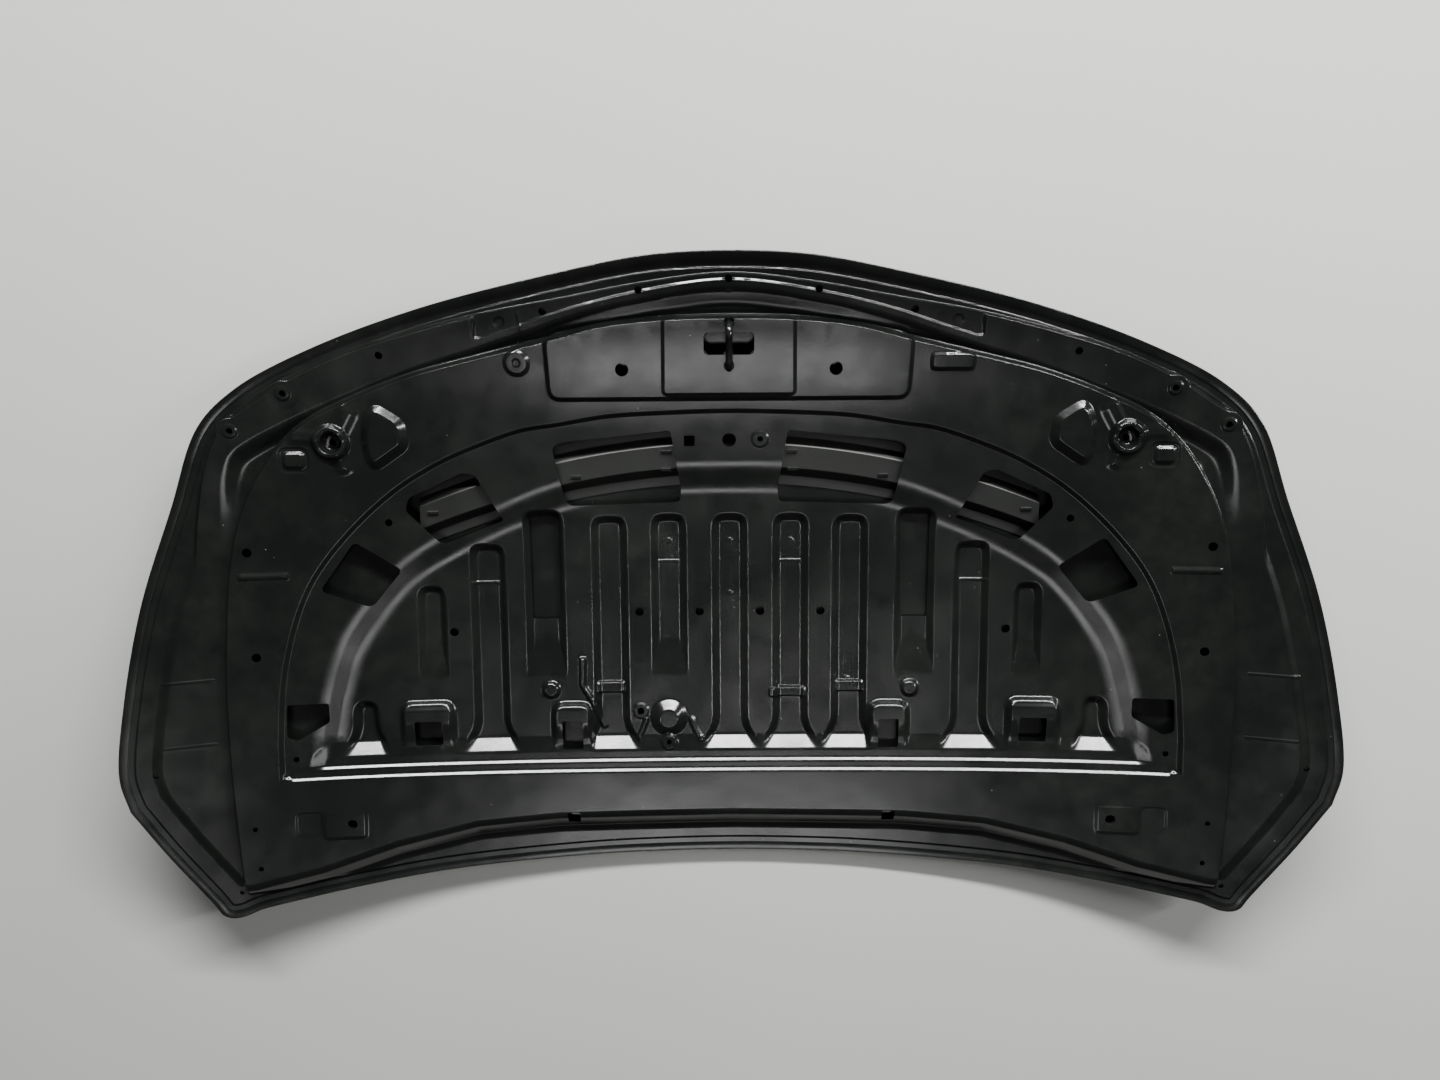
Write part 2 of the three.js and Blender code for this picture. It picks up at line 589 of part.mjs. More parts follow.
// Outer panel: the skin and, in one piece with it, the hem folded over the inner panel's edge.
function outerPanel() {
  const lipBottom = 2 * HEM_GAP + PANEL_T;
  const lipTop = lipBottom + SKIN_T;
  const innerR = lipBottom / 2;
  const outerR = (lipTop + SKIN_T) / 2;
  const rimLine = inset(edge, outerR);
  const rings = [14, 40].map((depth) => inset(rimLine, depth));
  const sides = rings.flatMap((ring) => ring.map((point, i) => [point, ring[(i + 1) % ring.length]]));
  const { points, faces } = netOver(rimLine, sides, SKIN_STEP);
  const upper = raised(points, () => 0);
  const lower = shifted(upper, faces, -SKIN_T);
  const fold = (radius, turn) => [outerR - radius * Math.sin(turn), innerR - radius * Math.cos(turn)];
  const section = [
    fold(innerR, Math.PI / 3), fold(innerR, (2 * Math.PI) / 3),
    [outerR, lipBottom], [HEM_WIDTH, lipBottom], [HEM_WIDTH, lipTop], [outerR, lipTop],
    fold(outerR, (2 * Math.PI) / 3), fold(outerR, Math.PI / 3),
  ];
  const rim = new Map(rimOf(faces));
  const start = rim.keys().next().value;
  const order = [start];
  while (rim.get(order.at(-1)) !== start) order.push(rim.get(order.at(-1)));
  const line = order.map((i) => points[i]);
  const swept = section.map(([depth, rise]) => offsetRing(line, depth - outerR).map(([x, y]) => [x, y, crown(x, y) + rise]));
  const count = points.length;
  const ringStart = (k) => 2 * count + k * order.length;
  const at = (k, i) => {
    if (k < 0) return order[i];
    return k === section.length ? order[i] + count : ringStart(k) + i;
  };
  const hem = order.flatMap((_, i) => {
    const j = (i + 1) % order.length;
    return Array.from({ length: section.length + 1 }, (_unused, k) => [
      [at(k - 1, j), at(k - 1, i), at(k, i)],
      [at(k - 1, j), at(k, i), at(k, j)],
    ]).flat();
  });
  const under = faces.map(([a, b, c]) => [a + count, c + count, b + count]);
  return meshOf([...upper, ...lower, ...swept.flat()], [...faces, ...under, ...hem]);
}

// Each point of a counter-clockwise ring moved inwards, none left out.
function offsetRing(ring, distance) {
  return ring.map(([x, y], i) => {
    const [ax, ay] = ring[(i + ring.length - 1) % ring.length];
    const [bx, by] = ring[(i + 1) % ring.length];
    const length = Math.hypot(bx - ax, by - ay);
    return [x - ((by - ay) / length) * distance, y + ((bx - ax) / length) * distance];
  });
}

// Inner panel: one pressed sheet with its windows and holes.
const panelSides = creases();

function innerPanel() {
  const outline = inset(edge, EDGE_CLEARANCE + HEM_GAP);
  const { points, faces } = netOver(outline, panelSides, FILL_STEP);
  const whole = sheet(faces, raised(points, (x, y) => pressed(x, y) + PANEL_T), PANEL_T);
  return cut(whole, [...holes, latchSlot, ...STRIKER_LEGS.map((leg) => circle(leg, LEG_HOLE_R + 1.5, 12))]);
}

// A plate pressed to lie against the inner panel's lower face.
function backing(outline, thickness, cuts) {
  const { points, faces } = netOver(outline, panelSides, FILL_STEP);
  return cut(sheet(faces, raised(points, (x, y) => pressed(x, y) - SEAT_GAP), thickness), cuts);
}

function strikerPlate() {
  const [half, deep] = STRIKER_PLATE.map((size) => size / 2);
  const outline = box(-half, LATCH_Y - deep, half, LATCH_Y + deep, 10);
  return backing(outline, STRIKER_PLATE_T, [latchSlot, ...STRIKER_LEGS.map((leg) => circle(leg, LEG_HOLE_R, 12))]);
}

function hingePlate(side) {
  const outline = inset(hingePad, SMALL_WALL + HINGE_PLATE_MARGIN);
  const hole = circle(HINGE, HINGE_BOLT_R);
  return side > 0 ? backing(outline, HINGE_PLATE_T, [hole]) : backing(mirror(outline), HINGE_PLATE_T, [mirror(hole)]);
}

// Striker: a wire bent into a loop that stands over the slot, with its legs through the plate.
function striker() {
  const half = STRIKER_SPAN / 2;
  const bend = half - WIRE_BEND;
  const point = (y, z) => new THREE.Vector3(0, y, z);
  const path = new THREE.CurvePath();
  path.add(new THREE.LineCurve3(point(-half, -LEG_DEPTH), point(-half, LOOP_HEIGHT - WIRE_BEND)));
  path.add(new THREE.QuadraticBezierCurve3(point(-half, LOOP_HEIGHT - WIRE_BEND), point(-half, LOOP_HEIGHT),
    point(-bend, LOOP_HEIGHT)));
  path.add(new THREE.LineCurve3(point(-bend, LOOP_HEIGHT), point(bend, LOOP_HEIGHT)));
  path.add(new THREE.QuadraticBezierCurve3(point(bend, LOOP_HEIGHT), point(half, LOOP_HEIGHT),
    point(half, LOOP_HEIGHT - WIRE_BEND)));
  path.add(new THREE.LineCurve3(point(half, LOOP_HEIGHT - WIRE_BEND), point(half, -LEG_DEPTH)));
  const section = new THREE.Shape();
  section.absarc(0, 0, WIRE_D / 2, 0, 2 * Math.PI);
  return new THREE.ExtrudeGeometry(section, { extrudePath: path, steps: 30, curveSegments: 12 });
}

// Front brace: a top-hat strip that follows the nose, glued to the skin.
function brace() {
  const half = BRACE_WIDTH / 2;
  const low = GLUE_GAP + BRACE_T;
  const section = [[half, low], [half - BRACE_FLANGE, low], [half - 1.8 * BRACE_FLANGE, BRACE_HEIGHT]];
  const across = [...section.map(([y, z]) => [-y, z]), ...section.reverse()];
  const stations = 22;
  const upper = Array.from({ length: stations + 1 }, (_, i) => {
    const x = BRACE_HALF * ((2 * i) / stations - 1);
    const middle = BRACE_Y - BRACE_SWEEP * (x / BRACE_HALF) ** 2;
    return across.map(([dy, height]) => [x, middle + dy, crown(x, middle + dy) + height]);
  }).flat();
  const width = across.length;
  const faces = Array.from({ length: stations * (width - 1) }, (_, k) => {
    const first = Math.floor(k / (width - 1)) * width + (k % (width - 1));
    return [[first, first + width, first + width + 1], [first, first + width + 1, first + 1]];
  }).flat();
  return sheet(faces, upper, BRACE_T);
}

// A hexagon nut with its bore, its top at z = 0.
function nut({ flats, height }, bore) {
  const shape = new THREE.Shape(circle([0, 0], flats / Math.sqrt(3), 6).map(([x, y]) => new THREE.Vector2(x, y)));
  const hole = new THREE.Path().absarc(0, 0, bore, 0, 2 * Math.PI, true);
  shape.holes.push(hole);
  return new THREE.ExtrudeGeometry(shape, { depth: height, bevelEnabled: false, curveSegments: 8 })
    .translate(0, 0, -height);
}

// Puts a piece on the plan at a level above the skin, square to the skin there.
function stand(mesh, [x, y], level) {
  const [sx, sy] = slope(x, y);
  const normal = new THREE.Vector3(-sx, -sy, 1).normalize();
  mesh.quaternion.setFromUnitVectors(new THREE.Vector3(0, 0, 1), normal);
  mesh.position.set(x, y, crown(x, y) + level);
}

// A mastic pad between a channel's floor and the skin.
function masticPad([x, y]) {
  const { points, faces } = netOver(circle([x, y], MASTIC_R, 12), [], MASTIC_R);
  return closed(faces, raised(points, () => CHANNEL_H - SEAT_GAP), raised(points, () => GLUE_GAP));
}

add('outer_panel', outerPanel());
add('inner_panel', innerPanel());
add('striker_plate', strikerPlate());
stand(add('striker', striker().translate(0, STRIKER_Y - LATCH_Y, 0)), [0, LATCH_Y], LATCH_LEVEL + PANEL_T);
add('front_brace', brace());
[['left', -1], ['right', 1]].forEach(([word, side]) => {
  add(`hinge_plate_${word}`, hingePlate(side));
  const under = FRAME_H + PAD_RISE - HINGE_PLATE_T - 2.2 * SEAT_GAP;
  stand(add(`hinge_nut_${word}`, nut(HINGE_NUT, HINGE_BOLT_R)), [side * HINGE[0], HINGE[1]], under);
  STOPS.forEach(([x, y], i) => {
    stand(add(`stop_nut_${word}_${i + 1}`, nut(STOP_NUT, STOP_BOLT_R)), [side * x, y], LEDGE_H - SEAT_GAP);
  });
});
MASTIC.flatMap(([x, y]) => (x === 0 ? [[x, y]] : [[-x, y], [x, y]])).forEach((place, i) => {
  add(`mastic_pad_${i + 1}`, masticPad(place), paint(MASTIC_GREY, 0.8, 0));
});

// The part's origin is the middle of its footprint, at the lowest point of the skin.
const bounds = new THREE.Box3().setFromObject(bonnet, true);
const middle = bounds.getCenter(new THREE.Vector3());
bonnet.position.set(-middle.x, -middle.y, -bounds.min.z);
const part = new THREE.Group();
part.add(bonnet);

export default part;
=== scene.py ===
"""Looks of a black-primed car bonnet that lies on its outer skin with the underside up.

Plan sizes are in millimetres from the same datum as the part's source: +X to the right, +Y to the
nose, +Z out of the underside. Heights of pressed forms are measured from the skin's inner face.
"""

import math

import bmesh
import bpy
import numpy as np
from mathutils import Matrix, Vector
from mathutils.geometry import delaunay_2d_cdt
from mathutils.kdtree import KDTree


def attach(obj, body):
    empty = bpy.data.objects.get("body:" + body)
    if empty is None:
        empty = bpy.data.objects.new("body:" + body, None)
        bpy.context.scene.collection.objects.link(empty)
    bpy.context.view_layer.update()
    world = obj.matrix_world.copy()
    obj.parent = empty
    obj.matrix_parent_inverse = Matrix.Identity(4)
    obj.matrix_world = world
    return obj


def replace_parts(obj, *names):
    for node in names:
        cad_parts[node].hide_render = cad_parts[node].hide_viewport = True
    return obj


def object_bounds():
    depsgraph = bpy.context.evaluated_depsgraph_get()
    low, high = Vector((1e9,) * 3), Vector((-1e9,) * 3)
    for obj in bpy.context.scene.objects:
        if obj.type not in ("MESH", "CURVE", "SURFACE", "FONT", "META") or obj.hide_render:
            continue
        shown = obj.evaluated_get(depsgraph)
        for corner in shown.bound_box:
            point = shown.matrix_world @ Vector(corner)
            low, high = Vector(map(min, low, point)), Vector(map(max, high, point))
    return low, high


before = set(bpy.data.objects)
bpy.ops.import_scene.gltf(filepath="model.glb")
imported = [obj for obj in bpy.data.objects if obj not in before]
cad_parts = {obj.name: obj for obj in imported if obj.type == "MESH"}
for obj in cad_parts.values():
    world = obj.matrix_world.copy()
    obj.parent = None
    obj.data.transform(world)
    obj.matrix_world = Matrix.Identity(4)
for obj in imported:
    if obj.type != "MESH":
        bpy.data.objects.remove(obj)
CAD_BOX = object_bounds()

MM = 0.001

# Overall plan
NOSE_Y = 396
REAR_Y = -361
TIP_Y = -427
TIP_X = 634
HALF_WIDTH = 754

# Crown of the skin: how far its edges rise above the middle
SIDE_RISE = 34
SIDE_CURL = 40
REAR_RISE = 16
NOSE_RISE = 50
NOSE_CURL = 35
CROWN_LENGTH = 400
CROWN_WIDTH = 740

# Sheets and hem
SKIN_T = 0.7
PANEL_T = 0.7
HEM_WIDTH = 10
HEM_GAP = 0.6
EDGE_CLEARANCE = 1.5
HEM_ZONE = 16

# Levels of the inner panel above the skin
SEAL_H = 3.5
FLANGE_H = 8
LEDGE_H = 14
GROOVE_H = 5
FRAME_H = 24
PAN_LEDGE_H = 20
RIB_H = 12
CHANNEL_H = 4.5
TOWER_H = 15
PAN_FOOT_H = 17
REAR_STEP_H = 20.5

# Heights added on top of a level
LATCH_RISE = 5
LATCH_FACET_RISE = 3
LATCH_LEVEL = FRAME_H + LATCH_RISE + LATCH_FACET_RISE
STOP_RISE = 7
STOP_RUN = 12.5
CUP_RISE = 6
CUP_DEPTH = 9
PAD_RISE = 2
BEAD_RISE = 2.5
BOSS_RISE = 4
DOME_RISE = 9

SMALL_WALL = 5.8
SIDE_FLANGE_IN = 37
PAN_REAR_Y = -206
FOOT_RUN = 21.5
STEP_1_Y = -231
STEP_2_Y = -243
PAN_HALF = 532
CHANNEL_HALF = 24.5
CHANNEL_WALL = 13
CHANNEL_FLARE = 54
FLARE_LENGTH = 52
SHORT_CHANNEL_Y = -130

STRIKER_Y = 290
STRIKER_SPAN = 52
WIRE_D = 8
LATCH_SLOT = (60, 26)
LATCH_Y = 276
LEG_CLEARANCE = 1.1
HINGE = (480, -307)
HINGE_BOLT_R = 6.5
STOPS = ((532, 235), (597, 191))
STOP_BOLT_R = 4
STOP_SEAT_R = 20

# Share of a wall's run that is rounded at its top and at its foot, on most walls and on straighter ones
ROUNDING = 0.36
CRISP = 0.2
# Spacing of the net's points along curves, along straight lines and in open areas
CURVE_STEP = 8.5
LINE_STEP = 30
FILL_STEP = 23
FINE_STEP = 8
# A wall with a run up to the first gets fewer lines. One with a run past the second gets longer steps.
NARROW_WALL = 5.9
GENTLE_WALL = 10

# The datum in the frame: the CAD box's middle across and along, and its lowest point
DATUM = Vector((
    (CAD_BOX[0][0] + CAD_BOX[1][0]) / 2,
    CAD_BOX[1][1] - NOSE_Y * MM,
    CAD_BOX[0][2] + SKIN_T * MM,
))


def crown(x, y):
    """The skin's inner face: a shallow bowl, flat in the middle and curling up to the edges."""
    across = (x / CROWN_WIDTH) ** 2
    along = (y / CROWN_LENGTH) ** 2
    side = SIDE_RISE * across + SIDE_CURL * across**2
    return side + np.where(y < 0, REAR_RISE * along, NOSE_RISE * along + NOSE_CURL * along**2)


def slope(x, y):
    """How much the crown rises for each millimetre across and along."""
    across = crown(x + 1, y) - crown(x - 1, y)
    along = crown(x, y + 1) - crown(x, y - 1)
    return float(across) / 2, float(along) / 2


# Plan loops
def mirror(points):
    return [(-x, y) for x, y in reversed(points)]


def whole_loop(half):
    return list(half) + mirror([p for p in half if p[0] > 0.01])


def both_sides(loop):
    return [loop, mirror(loop)]


def spline(points, step):
    """A centripetal curve through the points, as points a step apart. It is level where x is 0."""
    through = np.array(points, float)
    mirrored = [-1, 1]
    ends = [
        through[1] * mirrored if through[0][0] == 0 else 2 * through[0] - through[1],
        through[-2] * mirrored if through[-1][0] == 0 else 2 * through[-1] - through[-2],
    ]
    ctrl = np.vstack([ends[:1], through, ends[1:]])
    dense = []
    for p0, p1, p2, p3 in zip(ctrl, ctrl[1:], ctrl[2:], ctrl[3:]):
        k0, k1, k2 = (math.dist(a, b) ** 0.5 for a, b in ((p0, p1), (p1, p2), (p2, p3)))
        m1 = ((p1 - p0) / k0 - (p2 - p0) / (k0 + k1) + (p2 - p1) / k1) * k1
        m2 = ((p2 - p1) / k1 - (p3 - p1) / (k1 + k2) + (p3 - p2) / k2) * k1
        t = np.linspace(0, 1, 40, endpoint=False)[:, None]
        dense.append(
            (2 * t**3 - 3 * t**2 + 1) * p1 + (t**3 - 2 * t**2 + t) * m1
            + (3 * t**2 - 2 * t**3) * p2 + (t**3 - t**2) * m2
        )
    dense = np.vstack(dense + [through[-1:]])
    gone = np.concatenate([[0], np.cumsum(np.hypot(*np.diff(dense, axis=0).T))])
    count = max(1, round(gone[-1] / step))
    stops = np.linspace(0, gone[-1], count + 1)
    return [(float(np.interp(s, gone, dense[:, 0])), float(np.interp(s, gone, dense[:, 1]))) for s in stops]


def rounded(points, radius, segments=5):
    """A polygon with its corners rounded over about the given length."""
    out = []
    for i, corner in enumerate(points):
        c = np.array(corner, float)
        ends = []
        for other in (points[i - 1], points[(i + 1) % len(points)]):
            away = np.array(other, float) - c
            ends.append(c + away * min(radius / np.hypot(*away), 0.45))
        for t in np.linspace(0, 1, segments + 1):
            out.append(tuple((1 - t) ** 2 * ends[0] + 2 * t * (1 - t) * c + t**2 * ends[1]))
    return out


def box(x0, y0, x1, y1, radius=6):
    return rounded([(x0, y0), (x1, y0), (x1, y1), (x0, y1)], radius)


def circle(centre, radius, sides=24):
    turns = [(i + 0.5) / sides * 2 * math.pi for i in range(sides)]
    return [(centre[0] + radius * math.cos(a), centre[1] + radius * math.sin(a)) for a in turns]


def inside_by(loop, points):
    """Distance from each point to a loop, positive inside. Points far outside get a large minus."""
    loop = np.array(loop, float)
    points = np.asarray(points, float)
    low, high = loop.min(0) - 8, loop.max(0) + 8
    near = np.flatnonzero(((points > low) & (points < high)).all(1))
    result = np.full(len(points), -1e3)
    if len(near) == 0:
        return result
    x, y = points[near].T
    best = np.full(len(near), 1e12)
    inside = np.zeros(len(near), bool)
    for (ax, ay), (bx, by) in zip(np.roll(loop, 1, axis=0), loop):
        dx, dy = bx - ax, by - ay
        t = np.clip(((x - ax) * dx + (y - ay) * dy) / (dx * dx + dy * dy or 1), 0, 1)
        best = np.minimum(best, (x - ax - t * dx) ** 2 + (y - ay - t * dy) ** 2)
        if ay != by:
            crosses = (ay > y) != (by > y)
            inside ^= crosses & (x < ax + (y - ay) / (by - ay) * dx)
    result[near] = np.where(inside, np.sqrt(best), -np.sqrt(best))
    return result


def inset(loop, distance):
    """The loop moved inwards by a distance, without points that come too near another side."""
    pts = np.array(loop, float)
    after = np.roll(pts, -1, axis=0)
    turn = np.sign((pts[:, 0] * after[:, 1] - after[:, 0] * pts[:, 1]).sum())
    side = after - pts
    length = np.maximum(np.hypot(*side.T), 1e-6)[:, None]
    inward = np.column_stack([-side[:, 1], side[:, 0]]) / length * turn
    total = inward + np.roll(inward, 1, axis=0)
    total /= np.maximum(np.hypot(*total.T), 1e-6)[:, None]
    reach = distance / np.maximum((total * inward).sum(1), 0.6)
    moved = pts + total * reach[:, None]
    if distance <= 0:
        return [tuple(p) for p in moved]
    kept = inside_by(loop, moved) > distance * 0.93
    return [tuple(p) for p in moved[kept]]


def along(loop, step):
    """Points no further apart than the step along each side of a closed loop."""
    out = []
    for a, b in zip(loop, loop[1:] + loop[:1]):
        count = max(1, math.ceil(math.dist(a, b) / step))
        out += [(a[0] + (b[0] - a[0]) * k / count, a[1] + (b[1] - a[1]) * k / count) for k in range(count)]
    return out


# The bonnet's edge: the nose, the sides and the swept-back rear corners
front_edge = spline([(0, NOSE_Y), (95, 391.5), (190, 375), (365, 334), (500, 287), (590, 241), (638, 195),
                     (677, 98), (718, -18), (745, -145), (HALF_WIDTH, -235), (744, -278)], CURVE_STEP)
tip_corner = spline([(744, -278), (706, -338), (TIP_X + 20, TIP_Y + 17), (TIP_X + 12, TIP_Y + 5),
                     (TIP_X + 1, TIP_Y), (TIP_X - 14, TIP_Y + 1), (600, -419), (562, -412)],
                    CURVE_STEP * 0.7)
rear_edge = spline([(562, -412), (480, -398), (364, -381), (180, -366), (90, -362.4), (0, REAR_Y)],
                   CURVE_STEP)
edge = whole_loop(front_edge + tip_corner[1:] + rear_edge[1:])

# The ledge along the nose, and the groove between it and the frame
ledge_front = spline([(0, 373), (106, 362), (197, 346), (304, 327), (412, 299), (472, 279), (532, 251),
                      (582, 219), (606, 202), (630, 160), (645, 110), (654, 60), (658, 10)], CURVE_STEP)
ledge = whole_loop(ledge_front + [(600, 10), (570, 130), (440, 200), (0, 290)])
groove_front = spline([(0, 357), (106, 344), (197, 323), (250, 306), (305, 289), (382, 266), (460, 236),
                       (522, 210), (578, 182), (601, 165), (613, 140), (620, 100), (625, 50), (627, 10)],
                      CURVE_STEP)
groove = whole_loop(groove_front + [(590, 10), (560, 130), (440, 200), (0, 290)])

# The frame: the raised ring round the pan, and the roll that takes it down to the rear flange
frame_front = spline([(0, 326), (85, 324), (150, 317), (213, 302), (302, 281), (380, 261), (455, 233),
                      (510, 206), (550, 173), (580, 130), (601, 85), (616, 25), (625, -60), (629, -130),
                      (628, -230), (623, -322), (616, -398)], CURVE_STEP)
frame_rear = spline([(562, -397), (480, -383), (364, -366), (180, -351), (0, REAR_Y + 15)], CURVE_STEP)
frame_loop = whole_loop(frame_front + frame_rear)
rear_roll = whole_loop([(0, -296), (222, -299), (326, -307), (430, -330), (520, -358), (600, -374),
                        (700, -380), (700, -470), (0, -470)])

# The pan inside the frame
pan_front = spline([(0, 214), (83, 212), (150, 208), (212, 198), (253, 192), (312, 172), (358, 152),
                    (411, 120), (464, 74), (507, 24), (529, -14), (548, -68), (560, -126), (566, -200)],
                   CURVE_STEP)
pan = whole_loop(pan_front + [(566, STEP_2_Y - 4), (0, STEP_2_Y - 4)])
floor_front = spline([(0, 151), (110, 147), (210, 129), (285, 102), (361, 65), (418, 28), (462, -21),
                      (495, -71), (516, -134), (528, -190)], CURVE_STEP)
pan_floor = whole_loop(floor_front + [(528, STEP_2_Y - 15), (0, STEP_2_Y - 15)])


def channel(x, top, bottom, flare=CHANNEL_HALF, half=CHANNEL_HALF):
    """One channel of the pan. Its lower end may open out through a flare."""
    neck = bottom + FLARE_LENGTH
    middle = (half + flare) / 2
    side = [(half - 9, top), (half, top - 11), (half, neck), (middle, neck - 22), (flare, bottom)]
    return rounded([(x + dx, y) for dx, y in side + mirror(side)], 12, 4)


# The channels run on under the pan's foot, so that the foot's slope alone closes their ends
PAN_FOOT_Y = PAN_REAR_Y - 36
CHANNELS = [
    channel(0, 84, PAN_FOOT_Y, CHANNEL_FLARE),
    channel(-77, 84, SHORT_CHANNEL_Y),
    channel(77, 84, PAN_FOOT_Y, CHANNEL_FLARE),
    *both_sides(channel(152, 82, PAN_FOOT_Y, CHANNEL_FLARE)),
    *both_sides(channel(234, 90, SHORT_CHANNEL_Y, 27, 27)),
    *both_sides(channel(305, 48, PAN_FOOT_Y, CHANNEL_FLARE)),
    *both_sides(channel(376, -4, SHORT_CHANNEL_Y, 20, 20)),
    *both_sides(channel(462, -150, PAN_FOOT_Y, 44, 18)),
]

stop_pad = rounded([(386, 168), (389, 203), (424, 226), (440, 212), (447, 184), (444, 150), (430, 138)], 13)
CUP = (480, 176)
hinge_pad = box(HINGE[0] - 20, HINGE[1] - 20, HINGE[0] + 37, HINGE[1] + 20, 9)
latch_face = rounded([(-222, 303), (-150, 318), (0, 327), (150, 318), (222, 303), (220, 222),
                      (-220, 222)], 18)
latch_facet = rounded([(-80, 325), (0, 327), (80, 325), (82, 228), (-82, 228)], 8)


def eased(share, rounding):
    """A wall's profile: straight, with rounded ends."""
    t = np.clip(share, 0, 1)
    foot = t**2 / (2 * rounding * (1 - rounding))
    top = 1 - (1 - t) ** 2 / (2 * rounding * (1 - rounding))
    middle = (t - rounding / 2) / (1 - rounding)
    return np.where(t < rounding, foot, np.where(t > 1 - rounding, top, middle))


# What a pressing does to the level below it
def to(level):
    return lambda below, x, y: np.full(len(x), float(level))


def by(rise):
    return lambda below, x, y: below + rise


def flat(centre, level):
    """A flat pad: a plane with the skin's slope at one point, at a level above that point."""
    px, py = centre
    sx, sy = slope(px, py)
    base = float(crown(px, py)) + level
    return lambda below, x, y: base + sx * (x - px) + sy * (y - py) - crown(x, y)


def fading(level, y_front, y_rear):
    """A level that fades into the side flange's over a stretch of the side."""
    return lambda below, x, y: level + (FLANGE_H - level) * eased((y_front - y) / (y_front - y_rear), 0.4)


def leaning(rise, fall, y_front, y_rear):
    """A flat that stands up at its nose side and sinks at its rear side."""
    def leaned(below, x, y):
        share = np.clip((y_front - y) / (y_front - y_rear), 0, 1)
        return below + rise - (rise + fall) * share
    return leaned


def press(loop, run, effect, rounding=ROUNDING):
    return {"loop": loop, "run": run, "effect": effect, "rounding": rounding}


HEM_END = press(inset(edge, HEM_ZONE), 4, to(SEAL_H), 0.3)

# Main forms, in the order in which they build on each other. They follow the part's source, with some
# corners rounder and some slopes gentler.
MAIN_FORMS = [
    HEM_END,
    press(inset(edge, SIDE_FLANGE_IN), 14, to(FLANGE_H)),
    press(ledge, 6, fading(LEDGE_H, 190, 30)),
    press(groove, 24, fading(GROOVE_H, 170, 30)),
    press(frame_loop, 9, to(FRAME_H)),
    press(pan, 7, to(PAN_LEDGE_H)),
    press(pan_floor, 46, to(RIB_H)),
    *[press(loop, CHANNEL_WALL, to(CHANNEL_H)) for loop in CHANNELS],
    *[press(loop, 9, to(TOWER_H)) for loop in both_sides(box(172, -270, 232, -160, 13))],
    *[press(loop, 9, to(TOWER_H)) for loop in both_sides(box(347, -270, 423, -158, 13))],
    press(box(-PAN_HALF, -275, PAN_HALF, PAN_REAR_Y + 3, 32), FOOT_RUN, to(PAN_FOOT_H), CRISP),
    press(box(-PAN_HALF - 24, -284, PAN_HALF + 24, STEP_1_Y, 10), 7, to(REAR_STEP_H)),
    press(box(-PAN_HALF - 43, -293, PAN_HALF + 43, STEP_2_Y, 10), 7, to(FRAME_H)),
    press(rear_roll, 36, to(SEAL_H)),
    press(latch_face, 6.5, by(LATCH_RISE)),
    press(latch_facet, 5, by(LATCH_FACET_RISE)),
    *[press(loop, STOP_RUN, by(STOP_RISE), CRISP) for loop in both_sides(stop_pad)],
    *[press(loop, 7, by(CUP_RISE)) for loop in both_sides(circle(CUP, 24))],
    *[press(loop, SMALL_WALL, by(-CUP_DEPTH)) for loop in both_sides(circle(CUP, 15))],
    *[press(loop, SMALL_WALL, by(BOSS_RISE)) for loop in both_sides(box(511, 143, 539, 167, 8))],
    press(hinge_pad, SMALL_WALL, flat(HINGE, FRAME_H + PAD_RISE)),
    press(mirror(hinge_pad), SMALL_WALL, flat((-HINGE[0], HINGE[1]), FRAME_H + PAD_RISE)),
    *[press(circle((side * x, y), STOP_SEAT_R), SMALL_WALL, flat((side * x, y), LEDGE_H))
      for side in (-1, 1) for x, y in STOPS],
    *[press(loop, SMALL_WALL, by(BEAD_RISE)) for loop in both_sides(box(540, 7, 602, 19, 5))],
    press(circle((-253, 269), 17), SMALL_WALL, by(BOSS_RISE)),
    press(box(239, 256, 295, 280, 9), SMALL_WALL, by(BOSS_RISE)),
    press(circle((-79, -181), 26), 16, by(DOME_RISE), CRISP),
]


def strip(points, width):
    """A loop round a line of points, of the given width."""
    line = np.array(points, float)
    ahead = np.gradient(line, axis=0)
    ahead /= np.hypot(*ahead.T)[:, None]
    side = np.column_stack([-ahead[:, 1], ahead[:, 0]]) * width / 2
    one_side = [tuple(p) for p in line + side]
    other_side = [tuple(p) for p in (line - side)[::-1]]
    return rounded(one_side + other_side, width * 0.4, 3)


def at_most(level):
    return lambda below, x, y: np.minimum(below, level)


def ramp(y_low, y_high):
    """A channel's floor that climbs gently to the ribs' level at its rear end."""
    return lambda below, x, y: np.maximum(
        below, CHANNEL_H + (RIB_H - CHANNEL_H) * eased((y_low - y) / (y_low - y_high), 0.3))


# The low middle part of the nose ledge, with a ridge left standing between it and the groove
RECESS_HALF = 305
recess_rear = [(x, y + 5) for x, y in groove_front if x < RECESS_HALF - 6]
recess_front = [(x, y + 9) for x, y in ledge_front if x < RECESS_HALF]
recess_side = [(RECESS_HALF, 298), (RECESS_HALF, 340)]
recess = whole_loop(recess_rear + recess_side + recess_front[::-1])

STOP_RIDGES = [
    strip([(478, 178), (464, 200), (452, 222)], 30),
    strip([(482, 177), (506, 184), (534, 184)], 28),
    strip([(479, 174), (471, 156), (465, 134)], 26),
]

